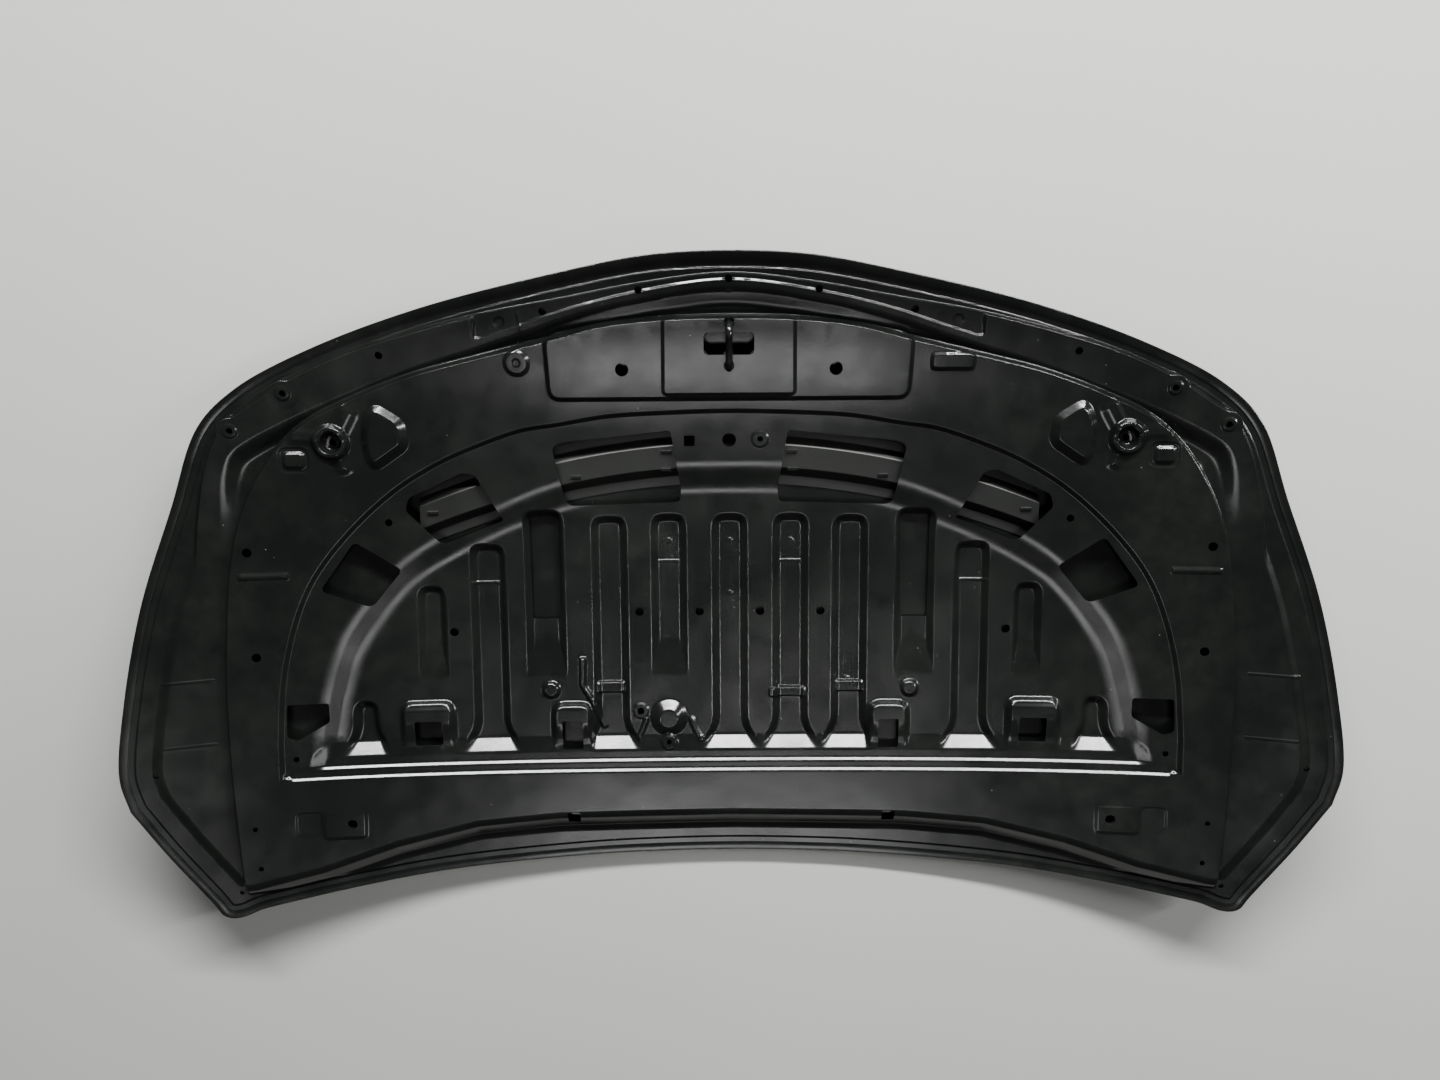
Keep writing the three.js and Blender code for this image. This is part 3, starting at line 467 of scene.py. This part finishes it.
# Fine forms, too small to matter in the part's source
FINE_FORMS = [
    press(recess, 4, at_most(LEDGE_H - 4)),
    *[press(circle((side * 272, 317), 7), 3, by(-1)) for side in (-1, 1)],
    *[press(strip([(side * 250, 328), (side * 246, 303)], 4), 1.8, by(0.8)) for side in (-1, 1)],
    *[press(circle((side * x, y), 10), 3.5, by(1.6)) for side in (-1, 1) for x, y in STOPS],
    *[press(loop, 13, by(2.7)) for ridge in STOP_RIDGES for loop in both_sides(ridge)],
    *[press(loop, 5, by(-3)) for loop in both_sides(circle(CUP, 12.5))],
    *[press(loop, 4, by(-1.5)) for loop in both_sides(box(506, 138, 544, 172, 12))],
    *[press(channel(x, -60, SHORT_CHANNEL_Y - 3, wide, wide), 5, ramp(-78, SHORT_CHANNEL_Y + 2))
      for x, wide in ((-77, 26), (234, 29), (-234, 29), (376, 22), (-376, 22))],
    *[press(loop, 9, leaning(6, 0, -182, -212)) for loop in both_sides(box(350, -240, 420, -151, 16))],
    *[press(loop, 9, leaning(6, 0, -186, -214)) for loop in both_sides(box(175, -240, 230, -156, 18))],
    press(strip([(-188, -99), (-189, -138), (-175, -160), (-160, -198)], 13), 6, by(4)),
    press(strip([(-52, -178), (-46, -194), (-36, -214)], 12), 5.5, by(3.5)),
    press(strip([(-106, -178), (-112, -194), (-120, -212)], 11), 5.5, by(3)),
    *[press(loop, 8, by(5)) for loop in both_sides(circle((229, -143), 14))],
    *[press(loop, 4, by(4)) for loop in both_sides(box(134, -151, 172, -133, 6))],
    *[press(loop, 2, by(1.2)) for loop in both_sides(strip([(290, -4), (326, -4)], 6))],
    *[press(loop, 2, by(1.2)) for loop in both_sides(strip([(62, 21), (92, 21)], 6))],
    *[press(circle((x, y), 5), 2.5, by(1.4)) for x, y in ((-77, 47), (77, 47), (0, 47), (0, -21))],
    press(box(146, -132, 158, -99, 5), 3, by(-2)),
    press(box(48, -157, 98, -141, 6), 4, by(5)),
    press(circle((38, 176), 12), 4, by(2)),
    press(circle((-115, -172), 12), 4, by(2.5)),
    press(circle((-79, -212), 13), 6, by(4)),
    *[press(loop, 1.6, by(0.9)) for y in (-117, -198)
      for loop in both_sides(strip([(640, y), (702, y - 2)], 5))],
    *[press(loop, 3, by(-1.1)) for loop in both_sides(box(516, -320, 549, -288, 9))],
    press(circle((-253, 269), 6), 3, by(-0.8)),
]

FORMS = MAIN_FORMS + FINE_FORMS


def pressed(points):
    """Level of the inner panel's lower face above the skin, at each plan point."""
    points = np.asarray(points, float)
    x, y = points.T
    level = np.full(len(points), float(HEM_GAP))
    for form in FORMS:
        share = eased(inside_by(form["loop"], points) / form["run"], form["rounding"])
        level += (form["effect"](level, x, y) - level) * share
    hem = eased(inside_by(HEM_END["loop"], points) / HEM_END["run"], HEM_END["rounding"])
    return HEM_GAP + (level - HEM_GAP) * hem


def staggered(step):
    """Points in staggered rows over the whole plan."""
    rows = np.arange(TIP_Y, NOSE_Y + step, step * 0.866)
    columns = np.arange(-HALF_WIDTH, HALF_WIDTH + step, step)
    return np.array([(x + (j % 2) * step / 2, y) for j, y in enumerate(rows) for x in columns])


def net(outline, lines, holes, fill_step, fine_fill):
    """A triangle net inside the outline and round the holes that follows all the loops."""
    points = []
    sides = []
    for loop in [outline] + holes:
        first = len(points)
        points += loop
        sides += [(first + i, first + (i + 1) % len(loop)) for i in range(len(loop))]
    for line in lines:
        first = len(points)
        points += line
        sides += [(first + i, first + i + 1) for i in range(len(line) - 1)]
    for fill, spacing in ((fine_fill, FINE_STEP), (staggered(fill_step), fill_step)):
        fill = fill[inside_by(outline, fill) > spacing * 0.5]
        cells = [(round(x / spacing * 1.5), round(y / spacing * 1.5)) for x, y in fill]
        taken = {(round(x / spacing * 1.5), round(y / spacing * 1.5)) for x, y in points}
        points += [tuple(spot) for spot, cell in zip(fill, cells) if cell not in taken]
    verts, _, faces, *_ = delaunay_2d_cdt([Vector(p) for p in points], sides, [], 0, 1e-4)
    plan = np.array([tuple(v) for v in verts])
    faces = np.array(faces)
    middles = plan[faces].mean(1)
    kept = inside_by(outline, middles) > 0
    for hole in holes:
        kept &= inside_by(hole, middles) < 0
    return plan, faces[kept]


def merged_bmesh(vertices, faces):
    """A bmesh in the frame, from datum millimetres, with its faces pointing up."""
    bm = bmesh.new()
    made = [bm.verts.new(DATUM + Vector(v) * MM) for v in vertices]
    for face in faces:
        bm.faces.new([made[i] for i in face])
    bmesh.ops.delete(bm, geom=[v for v in bm.verts if not v.link_faces], context="VERTS")
    if sum(f.calc_area() * f.normal.z for f in bm.faces) < 0:
        bmesh.ops.reverse_faces(bm, faces=bm.faces)
    return bm


def piece_from(name, bm, material):
    """A smooth-shaded piece of the bonnet."""
    for face in bm.faces:
        face.smooth = True
    mesh = bpy.data.meshes.new(name)
    bm.to_mesh(mesh)
    bm.free()
    mesh.materials.append(material)
    piece = bpy.data.objects.new(name, mesh)
    bpy.context.scene.collection.objects.link(piece)
    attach(piece, "root")
    return piece


def surface_normals(plan, height_at):
    """The directions square to a pressed surface at plan points, from its height just beside them."""
    step = 0.05
    here, right, ahead = (height_at(plan + np.array(shift) * step) for shift in ((0, 0), (1, 0), (0, 1)))
    normal = np.column_stack([(here - right) / step, (here - ahead) / step, np.ones(len(plan))])
    return normal / np.linalg.norm(normal, axis=1)[:, None]


def pressed_piece(name, bm, thickness, height_at, material):
    """A pressed sheet with its thickness below it, shaded by the true shape of the pressing."""
    upper = np.array([(v.co - DATUM) / MM for v in bm.verts])
    true = surface_normals(upper[:, :2], height_at)
    tree = KDTree(len(upper))
    for i, spot in enumerate(upper):
        tree.insert(spot, i)
    tree.balance()
    bmesh.ops.solidify(bm, geom=bm.faces[:], thickness=thickness * MM)
    # A sliver in the net can throw a lower vertex far off, so it is drawn back among its neighbours
    thrown = [v for v in bm.verts if tree.find((v.co - DATUM) / MM)[2] > 3 * thickness]
    for _ in range(4):
        bmesh.ops.smooth_vert(bm, verts=thrown, factor=1, use_axis_x=True, use_axis_y=True, use_axis_z=True)
    piece = piece_from(name, bm, material)
    mesh = piece.data
    nearest = np.array([tree.find((v.co - DATUM) / MM)[1] for v in mesh.vertices])
    corners = np.empty(len(mesh.loops), int)
    mesh.loops.foreach_get("vertex_index", corners)
    flat = np.empty(len(mesh.polygons) * 3)
    mesh.polygons.foreach_get("normal", flat)
    sizes = np.empty(len(mesh.polygons), int)
    mesh.polygons.foreach_get("loop_total", sizes)
    flat = np.repeat(flat.reshape(-1, 3), sizes, axis=0)
    shaded = true[nearest[corners]]
    facing = (shaded * flat).sum(1)
    shaded[facing < 0] *= -1
    edge_on = np.abs(facing) < 0.35
    shaded[edge_on] = flat[edge_on]
    mesh.normals_split_custom_set(shaded.tolist())
    return piece


def thicken(piece, thickness):
    """Gives a sheet its thickness below its faces, and shades it by the area of its faces."""
    wall = piece.modifiers.new("sheet thickness", "SOLIDIFY")
    wall.thickness = thickness * MM
    wall.offset = -1
    shade = piece.modifiers.new("shade by area", "WEIGHTED_NORMAL")
    shade.mode = "FACE_AREA"
    return piece


# Windows and holes of the inner panel
slot_half = [size / 2 for size in LATCH_SLOT]
latch_slot = box(-slot_half[0], STRIKER_Y - slot_half[1], slot_half[0], STRIKER_Y + slot_half[1], 6)
latch_tilt = math.atan(slope(0, LATCH_Y)[1])
STRIKER_LEGS = [
    (0, LATCH_Y + (STRIKER_Y - LATCH_Y + side * STRIKER_SPAN / 2) * math.cos(latch_tilt))
    for side in (-1, 1)
]
LEG_HOLE_R = WIRE_D / 2 + LEG_CLEARANCE

WINDOWS = [
    *both_sides(rounded([(62, 97), (60, 113), (72, 187), (209, 173), (218, 166), (204, 98), (197, 93)], 5)),
    *both_sides(rounded([(281, 76), (314, 134), (329, 137), (396, 106), (400, 90), (360, 49),
                         (353, 48)], 5)),
    *both_sides(rounded([(464, 53), (508, -8), (447, -31), (408, 16)], 8)),
    *both_sides(rounded([(218, 80), (252, 78), (251, -52), (217, -52)], 3)),
    *both_sides(rounded([(505, -151), (554, -151), (556, -192), (543, -197), (505, -176)], 4)),
    *both_sides(box(367, -211, 401, -179, 3)),
    *both_sides(box(189, -220, 215, -182, 3)),
    *both_sides(box(194, -317, 210, -301, 3)),
]
ROUND_HOLES = [
    (106, 352, 4.5), (220, 329, 4.5), (416, 279, 4.5), (588, 43, 5.5), (585, -88, 5.5), (596, -306, 3),
    (591, -357, 3), (713, -234, 4), (622, -393, 3), (128, 260.5, 8), (421, 76, 4.5), (38.5, -43, 5.5),
    (115, -43, 5.5), (349, -66, 5.5), (546, -221, 3.5), (*CUP, 4), (*HINGE, HINGE_BOLT_R),
    *[(x, y, STOP_BOLT_R) for x, y in STOPS],
]
SINGLE_HOLES = [(0, 364, 4.5), (0, 175, 8.5), (38, 176, 3.5), (-115, -172, 4.5), (-79, -212, 3)]

HOLES = [
    *WINDOWS,
    *[loop for x, y, r in ROUND_HOLES for loop in both_sides(circle((x, y), r, 16))],
    *[circle((x, y), r, 16) for x, y, r in SINGLE_HOLES],
    box(-55.5, 167.5, -42.5, 180.5, 1),
    latch_slot,
    *[circle(leg, LEG_HOLE_R + 1.5, 20) for leg in STRIKER_LEGS],
]


def wall_lines(form):
    """The lines along a pressing's wall: its foot, the ends of its rounded parts and its top."""
    r = form["rounding"]
    bends = [r / 2, r] if form["run"] > NARROW_WALL else [r * 0.6]
    shares = [0, *bends, *[1 - share for share in reversed(bends)], 1]
    loops = [form["loop"]] + [inset(form["loop"], share * form["run"]) for share in shares[1:]]
    step = LINE_STEP if form["run"] > GENTLE_WALL else LINE_STEP / 3
    return [along(loop, step) for loop in loops if len(loop) > 2]


def runs_inside(loop, depth):
    """The stretches of a line that lie well inside the outline."""
    runs = [[]]
    for point, deep in zip(loop, depth):
        if deep > 1:
            runs[-1].append(point)
        elif runs[-1]:
            runs.append([])
    return [run for run in runs if len(run) > 1]


def inner_panel(material):
    """The pressed inner panel, with rounded walls, windows and holes."""
    outline = inset(edge, EDGE_CLEARANCE + HEM_GAP)
    lines = []
    for form in FORMS:
        for loop in wall_lines(form):
            lines += runs_inside(loop + loop[:1], inside_by(outline, loop + loop[:1]))
    # Finer points where long highlights run: the nose, the stop pads, the latch face and the pan's foot
    spots = staggered(FINE_STEP)
    nose = (inside_by(frame_loop, spots) < 14) & (spots[:, 1] > 90)
    stops = (np.abs(np.abs(spots[:, 0]) - 470) < 92) & (np.abs(spots[:, 1] - 176) < 56)
    latch = (np.abs(spots[:, 0]) < 92) & (np.abs(spots[:, 1] - 276) < 56)
    foot = (np.abs(spots[:, 0]) < 510) & (np.abs(spots[:, 1] + 175) < 48)
    plan, faces = net(outline, lines, HOLES, FILL_STEP, spots[nose | stops | latch | foot])

    def height_at(points):
        return crown(*points.T) + pressed(points) + PANEL_T

    bm = merged_bmesh(np.column_stack([plan, height_at(plan)]), faces)
    return pressed_piece("inner_panel_pressing", bm, PANEL_T, height_at, material)


def rim_of(bm):
    """The vertices along the boundary of a sheet, in order."""
    borders = [e for e in bm.edges if e.is_boundary]
    vert = borders[0].verts[0]
    ring = []
    used = set()
    while True:
        ring.append(vert)
        step = [e for e in vert.link_edges if e.is_boundary and e not in used]
        if not step:
            break
        used.add(step[0])
        vert = step[0].other_vert(vert)
        if vert is ring[0]:
            break
    return ring


def outer_panel(material):
    """The skin, with its edge folded over the inner panel as a hem."""
    lip_bottom = 2 * HEM_GAP + PANEL_T
    inner_r = lip_bottom / 2
    outer_r = inner_r + SKIN_T
    rim_line = inset(edge, outer_r)
    rings = [inset(rim_line, depth) for depth in (5, 12, 24, 44)]
    plan, faces = net(rim_line, [ring + ring[:1] for ring in rings], [], 24, np.empty((0, 2)))
    bm = merged_bmesh(np.column_stack([plan, crown(*plan.T)]), faces)
    turns = [i / 6 * math.pi for i in range(1, 7)]
    section = [(outer_r - inner_r * math.sin(a), inner_r - inner_r * math.cos(a)) for a in turns]
    section += [(outer_r + 3, lip_bottom), (HEM_WIDTH, lip_bottom)]
    ring = rim_of(bm)
    start = np.array([((v.co - DATUM) / MM)[:2] for v in ring])
    ahead = np.roll(start, -1, axis=0) - np.roll(start, 1, axis=0)
    ahead /= np.hypot(*ahead.T)[:, None]
    inward = np.column_stack([-ahead[:, 1], ahead[:, 0]])
    if (inward * -start).sum() < 0:
        inward = -inward
    for depth, rise in section:
        sides = [bm.edges.get((a, b)) for a, b in zip(ring, ring[1:] + ring[:1])]
        made = bmesh.ops.extrude_edge_only(bm, edges=sides)["geom"]
        fresh = [v for v in made if isinstance(v, bmesh.types.BMVert)]
        by_place = {tuple(v.co): v for v in fresh}
        ring = [by_place[tuple(v.co)] for v in ring]
        spots = start + inward * (depth - outer_r)
        for vert, (x, y) in zip(ring, spots):
            vert.co = DATUM + Vector((x, y, float(crown(x, y)) + rise)) * MM
    bmesh.ops.recalc_face_normals(bm, faces=bm.faces)
    if sum(f.calc_area() * f.normal.z for f in bm.faces) < 0:
        bmesh.ops.reverse_faces(bm, faces=bm.faces)
    return thicken(piece_from("outer_panel_skin_and_hem", bm, material), SKIN_T)


def standing_at(x, y, level):
    """A frame that stands square to the skin at a plan point, in metres."""
    sx, sy = slope(x, y)
    up = Vector((-sx, -sy, 1)).normalized()
    turn = Vector((0, 0, 1)).rotation_difference(up).to_matrix().to_4x4()
    place = DATUM + Vector((x, y, float(crown(x, y)) + level)) * MM
    return Matrix.Translation(place) @ turn


# Striker wire
WIRE_BEND = 12
LOOP_HEIGHT = 24
LEG_DEPTH = 9


def striker(material):
    """The striker: a wire bent into a loop."""
    half = STRIKER_SPAN / 2 * MM
    bend = WIRE_BEND * MM
    bm = bmesh.new()
    wire_r = WIRE_D / 2 * MM
    foot = Matrix.Translation((0, -half, -LEG_DEPTH * MM))
    ring = bmesh.ops.create_circle(bm, cap_ends=True, segments=28, radius=wire_r, matrix=foot)["verts"]
    face = list({f for v in ring for f in v.link_faces})

    def drawn(face, offset):
        grown = bmesh.ops.extrude_discrete_faces(bm, faces=face)["faces"]
        bmesh.ops.translate(bm, verts=list({v for f in grown for v in f.verts}), vec=offset)
        return grown

    def bent(face, centre):
        turned = bmesh.ops.spin(bm, geom=face, cent=centre, axis=(-1, 0, 0), angle=math.pi / 2, steps=9)
        return [g for g in turned["geom_last"] if isinstance(g, bmesh.types.BMFace)]

    top = (LOOP_HEIGHT - WIRE_BEND) * MM
    tip = drawn(face, (0, 0, LEG_DEPTH * MM + top))
    tip = bent(tip, (0, -half + bend, top))
    tip = drawn(tip, (0, 2 * (half - bend), 0))
    tip = bent(tip, (0, half - bend, top))
    tip = drawn(tip, (0, 0, -(LEG_DEPTH * MM + top)))
    bmesh.ops.remove_doubles(bm, verts=bm.verts, dist=1e-6)
    bmesh.ops.recalc_face_normals(bm, faces=bm.faces)
    seat = standing_at(0, LATCH_Y, LATCH_LEVEL + PANEL_T)
    ahead = Matrix.Translation((0, (STRIKER_Y - LATCH_Y) * MM, 0))
    bmesh.ops.transform(bm, matrix=seat @ ahead, verts=bm.verts)
    return piece_from("striker_wire", bm, material)


# Front brace
BRACE_HALF = 385
BRACE_WIDTH = 72
BRACE_Y = 156
BRACE_SWEEP = 76
BRACE_HEIGHT = 12
BRACE_FLANGE = 12
BRACE_T = 1
GLUE_GAP = 0.75


def front_brace(material):
    """The brace behind the nose: a top-hat strip that follows the nose's curve."""
    half = BRACE_WIDTH / 2
    low = GLUE_GAP + BRACE_T
    foot = half - BRACE_FLANGE
    head = half - 1.8 * BRACE_FLANGE
    top = BRACE_HEIGHT
    corners = [(half, low), (foot + 1.5, low), (foot, low + 0.5), (foot - 1, low + 1.6),
               (head + 1, top - 1.6), (head, top - 0.5), (head - 1.5, top), (0, top)]
    across = [(-d, z) for d, z in corners] + list(reversed(corners[:-1]))
    bm = bmesh.new()
    bmesh.ops.create_grid(bm, x_segments=72, y_segments=len(across) - 1, size=1)
    for vert in bm.verts:
        dy, rise = across[round((vert.co.y + 1) / 2 * (len(across) - 1))]
        x = vert.co.x * BRACE_HALF
        y = BRACE_Y - BRACE_SWEEP * vert.co.x**2 + dy
        vert.co = DATUM + Vector((x, y, float(crown(x, y)) + rise)) * MM
    bmesh.ops.recalc_face_normals(bm, faces=bm.faces)
    if sum(f.calc_area() * f.normal.z for f in bm.faces) < 0:
        bmesh.ops.reverse_faces(bm, faces=bm.faces)
    return thicken(piece_from("front_brace_strip", bm, material), BRACE_T)


# Small raised beads on the brace's head, seen through the front windows
BRACE_BEADS = [(191, -8), (79, -15), (78, 7), (369, 0)]
BEAD_R = 3
BEAD_LENGTH = 13
BEAD_TURN = math.radians(5)


def brace_beads(material):
    """The beads along the brace: short six-sided bars, half sunk in its head and turned to the nose."""
    bm = bmesh.new()
    for side in (-1, 1):
        for x, dy in BRACE_BEADS:
            y = BRACE_Y - BRACE_SWEEP * (x / BRACE_HALF) ** 2 + dy
            seat = standing_at(side * x, y, BRACE_HEIGHT)
            turned = seat @ Matrix.Rotation(-BEAD_TURN, 4, "X")
            lying = turned @ Matrix.Rotation(math.pi / 2, 4, "Y")
            bmesh.ops.create_cone(bm, cap_ends=True, segments=6, radius1=BEAD_R * MM, radius2=BEAD_R * MM,
                                  depth=BEAD_LENGTH * MM, matrix=lying)
    beads = piece_from("brace_beads", bm, material)
    beads.data.shade_flat()
    return beads


# Finishes
def linear(hex_colour):
    """A linear colour from an sRGB hex value."""
    parts = [int(hex_colour[i:i + 2], 16) / 255 for i in (1, 3, 5)]
    return tuple(p / 12.92 if p <= 0.04045 else ((p + 0.055) / 1.055) ** 2.4 for p in parts) + (1,)


def add_node(tree, kind, settings=(), **links):
    """A node with its settings. A link's value is a socket, or a plain value for the input."""
    node = tree.nodes.new(kind)
    for key, value in dict(settings).items():
        setattr(node, key, value)
    for name, value in links.items():
        key = int(name[2:]) if name.startswith("in") else name.replace("_", " ")
        socket = node.inputs[key]
        if isinstance(value, bpy.types.NodeSocket):
            tree.links.new(value, socket)
        else:
            socket.default_value = value
    return node


def new_material(name):
    material = bpy.data.materials.new(name)
    material.use_nodes = True
    shader = material.node_tree.nodes["Principled BSDF"]
    return material, material.node_tree, shader


def per_mm(size):
    """A noise scale, in features per metre, for features of about this many millimetres."""
    return 1 / (size * MM)


def electro_coat(name, colour, dusty, rough):
    """Black electro-coat primer on pressed steel: a thin, hard, half-glossy paint film.

    It shows faint orange peel a few millimetres across, a matter film of dust in patches as wide as
    a hand, and scattered pale specks.
    """
    material, tree, shader = new_material(name)
    place = add_node(tree, "ShaderNodeTexCoord").outputs["Object"]
    patches = add_node(tree, "ShaderNodeTexNoise", Vector=place, Scale=per_mm(170),
                       Detail=4.0, Roughness=0.55)
    smears = add_node(tree, "ShaderNodeTexNoise", Vector=place, Scale=per_mm(38), Detail=5.0, Roughness=0.6)
    film = add_node(tree, "ShaderNodeMath", {"operation": "MULTIPLY"},
                    in0=patches.outputs["Fac"], in1=smears.outputs["Fac"])
    dust = add_node(tree, "ShaderNodeMapRange", in0=film.outputs[0], in1=0.18, in2=0.42, in3=0.0, in4=1.0)
    # Specks of about a millimetre, drawn a little coarser than real dust so that they show
    cells = add_node(tree, "ShaderNodeTexVoronoi", Vector=place, Scale=per_mm(16))
    speck = add_node(tree, "ShaderNodeMapRange", in0=cells.outputs["Distance"],
                     in1=0.035, in2=0.05, in3=1.0, in4=0.0)
    chance = add_node(tree, "ShaderNodeTexNoise", Vector=place, Scale=per_mm(27))
    some = add_node(tree, "ShaderNodeMapRange", in0=chance.outputs["Fac"],
                    in1=0.56, in2=0.6, in3=0.0, in4=0.55)
    specks = add_node(tree, "ShaderNodeMath", {"operation": "MULTIPLY"},
                      in0=speck.outputs[0], in1=some.outputs[0])
    filmed = add_node(tree, "ShaderNodeMix", {"data_type": "RGBA"}, in0=dust.outputs[0],
                      in6=linear(colour), in7=linear(dusty))
    specked = add_node(tree, "ShaderNodeMix", {"data_type": "RGBA"}, in0=specks.outputs[0],
                       in6=filmed.outputs[2], in7=linear("#8a8c86"))
    tree.links.new(specked.outputs[2], shader.inputs["Base Color"])
    gloss = add_node(tree, "ShaderNodeMapRange", in0=film.outputs[0],
                     in1=0.15, in2=0.42, in3=rough, in4=rough + 0.08)
    tree.links.new(gloss.outputs[0], shader.inputs["Roughness"])
    peel = add_node(tree, "ShaderNodeTexNoise", Vector=place, Scale=per_mm(4.5), Detail=1.5)
    waves = add_node(tree, "ShaderNodeTexNoise", Vector=place, Scale=per_mm(60), Detail=1.0)
    low = add_node(tree, "ShaderNodeBump", Strength=0.35, Distance=0.0012, Height=waves.outputs["Fac"])
    fine = add_node(tree, "ShaderNodeBump", Strength=0.22, Distance=0.00012,
                    Height=peel.outputs["Fac"], Normal=low.outputs[0])
    tree.links.new(fine.outputs[0], shader.inputs["Normal"])
    shader.inputs["IOR"].default_value = 1.52
    return material


def cured_mastic():
    """Grey-black rubbery mastic, laid as soft blobs and cured in the oven: matt and finely pitted."""
    material, tree, shader = new_material("cured_mastic")
    place = add_node(tree, "ShaderNodeTexCoord").outputs["Object"]
    lumps = add_node(tree, "ShaderNodeTexNoise", Vector=place, Scale=per_mm(9), Detail=4.0)
    shade = add_node(tree, "ShaderNodeMix", {"data_type": "RGBA"}, in0=lumps.outputs["Fac"],
                     in6=linear("#2e2f2c"), in7=linear("#45463f"))
    tree.links.new(shade.outputs[2], shader.inputs["Base Color"])
    skin = add_node(tree, "ShaderNodeBump", Strength=0.5, Distance=0.0006, Height=lumps.outputs["Fac"])
    tree.links.new(skin.outputs[0], shader.inputs["Normal"])
    shader.inputs["Roughness"].default_value = 0.82
    return material


def studio_floor():
    """A plain pale studio floor: matt board with the faintest unevenness in its tone."""
    material, tree, shader = new_material("pale_floor_board")
    place = add_node(tree, "ShaderNodeTexCoord").outputs["Object"]
    cloud = add_node(tree, "ShaderNodeTexNoise", Vector=place, Scale=per_mm(700), Detail=2.0)
    tone = add_node(tree, "ShaderNodeMix", {"data_type": "RGBA"}, in0=cloud.outputs["Fac"],
                    in6=linear("#bcbdba"), in7=linear("#c6c6c3"))
    tree.links.new(tone.outputs[2], shader.inputs["Base Color"])
    shader.inputs["Roughness"].default_value = 0.75
    bm = bmesh.new()
    bmesh.ops.create_grid(bm, x_segments=1, y_segments=1, size=6)
    mesh = bpy.data.meshes.new("floor")
    bm.to_mesh(mesh)
    bm.free()
    mesh.materials.append(material)
    floor = bpy.data.objects.new("floor", mesh)
    bpy.context.scene.collection.objects.link(floor)


# Camera: the photograph's view, in the datum's millimetres
AIM = Vector((-12, 52, 40))
TILT = math.radians(8)
ROLL = math.radians(0.38)
DISTANCE = 1345
LENS = 27.2


def camera():
    """A camera that looks down on the bonnet at the photograph's angle."""
    view = Vector((0, -math.sin(TILT), -math.cos(TILT)))
    top = Vector((0, math.cos(TILT), -math.sin(TILT)))
    right = Vector((1, 0, 0))
    turned_right = right * math.cos(ROLL) - top * math.sin(ROLL)
    turned_top = right * math.sin(ROLL) + top * math.cos(ROLL)
    data = bpy.data.cameras.new("camera")
    data.lens = LENS
    data.sensor_width = 36
    eye = bpy.data.objects.new("camera", data)
    turn = Matrix((turned_right, turned_top, -view)).transposed().to_4x4()
    eye.matrix_world = Matrix.Translation(DATUM + (AIM - view * DISTANCE) * MM) @ turn
    bpy.context.scene.collection.objects.link(eye)
    bpy.context.scene.camera = eye


def soft_light(name, place, target, size, watts, spread=180):
    """A rectangular softbox that faces a point. A narrow spread lights only what it faces."""
    data = bpy.data.lights.new(name, "AREA")
    data.spread = math.radians(spread)
    data.shape = "RECTANGLE"
    data.size, data.size_y = size
    data.energy = watts
    lamp = bpy.data.objects.new(name, data)
    lamp.location = place
    lamp.rotation_euler = (Vector(target) - Vector(place)).to_track_quat("-Z", "Y").to_euler()
    bpy.context.scene.collection.objects.link(lamp)


def studio():
    """Soft light from the nose side, a lower one from the right, fills and a dim surround."""
    world = bpy.data.worlds.new("studio")
    world.use_nodes = True
    world.node_tree.nodes["Background"].inputs["Color"].default_value = linear("#a3a8a2")
    world.node_tree.nodes["Background"].inputs["Strength"].default_value = 0.2
    bpy.context.scene.world = world
    soft_light("nose_strip", (0.3, 2.65, 1.85), (0, 0.1, 0), (4.0, 0.22), 330)
    soft_light("right_strip", (3.0, 0.8, 1.9), (0, 0, 0), (0.2, 1.8), 60)
    soft_light("rear_fill", (0, -1.12, 2.6), (0, 0.25, 0), (1.0, 0.35), 6)
    # Two narrow lamps that draw the fine bright lines along the channels' walls
    for side in (-1, 1):
        soft_light("pan_lamp", (side * 0.9, -0.66, 2.3), (0, -0.08, 0), (0.3, 0.16), 0.06, spread=16)


def dress():
    panel_paint = electro_coat("black_electro_coat", "#0f1110", "#181a18", 0.16)
    skin_paint = electro_coat("black_electro_coat_skin", "#0e100f", "#171917", 0.14)
    brace_paint = electro_coat("black_electro_coat_brace", "#121412", "#1a1c19", 0.4)
    mastic = cured_mastic()
    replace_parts(outer_panel(skin_paint), "outer_panel")
    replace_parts(inner_panel(panel_paint), "inner_panel")
    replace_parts(striker(panel_paint), "striker")
    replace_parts(front_brace(brace_paint), "front_brace")
    brace_beads(panel_paint)
    replaced = {"outer_panel", "inner_panel", "striker", "front_brace"}
    for name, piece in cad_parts.items():
        if name in replaced:
            continue
        for socket in piece.material_slots:
            socket.material = mastic if name.startswith("mastic") else brace_paint


studio_floor()
camera()
studio()
dress()
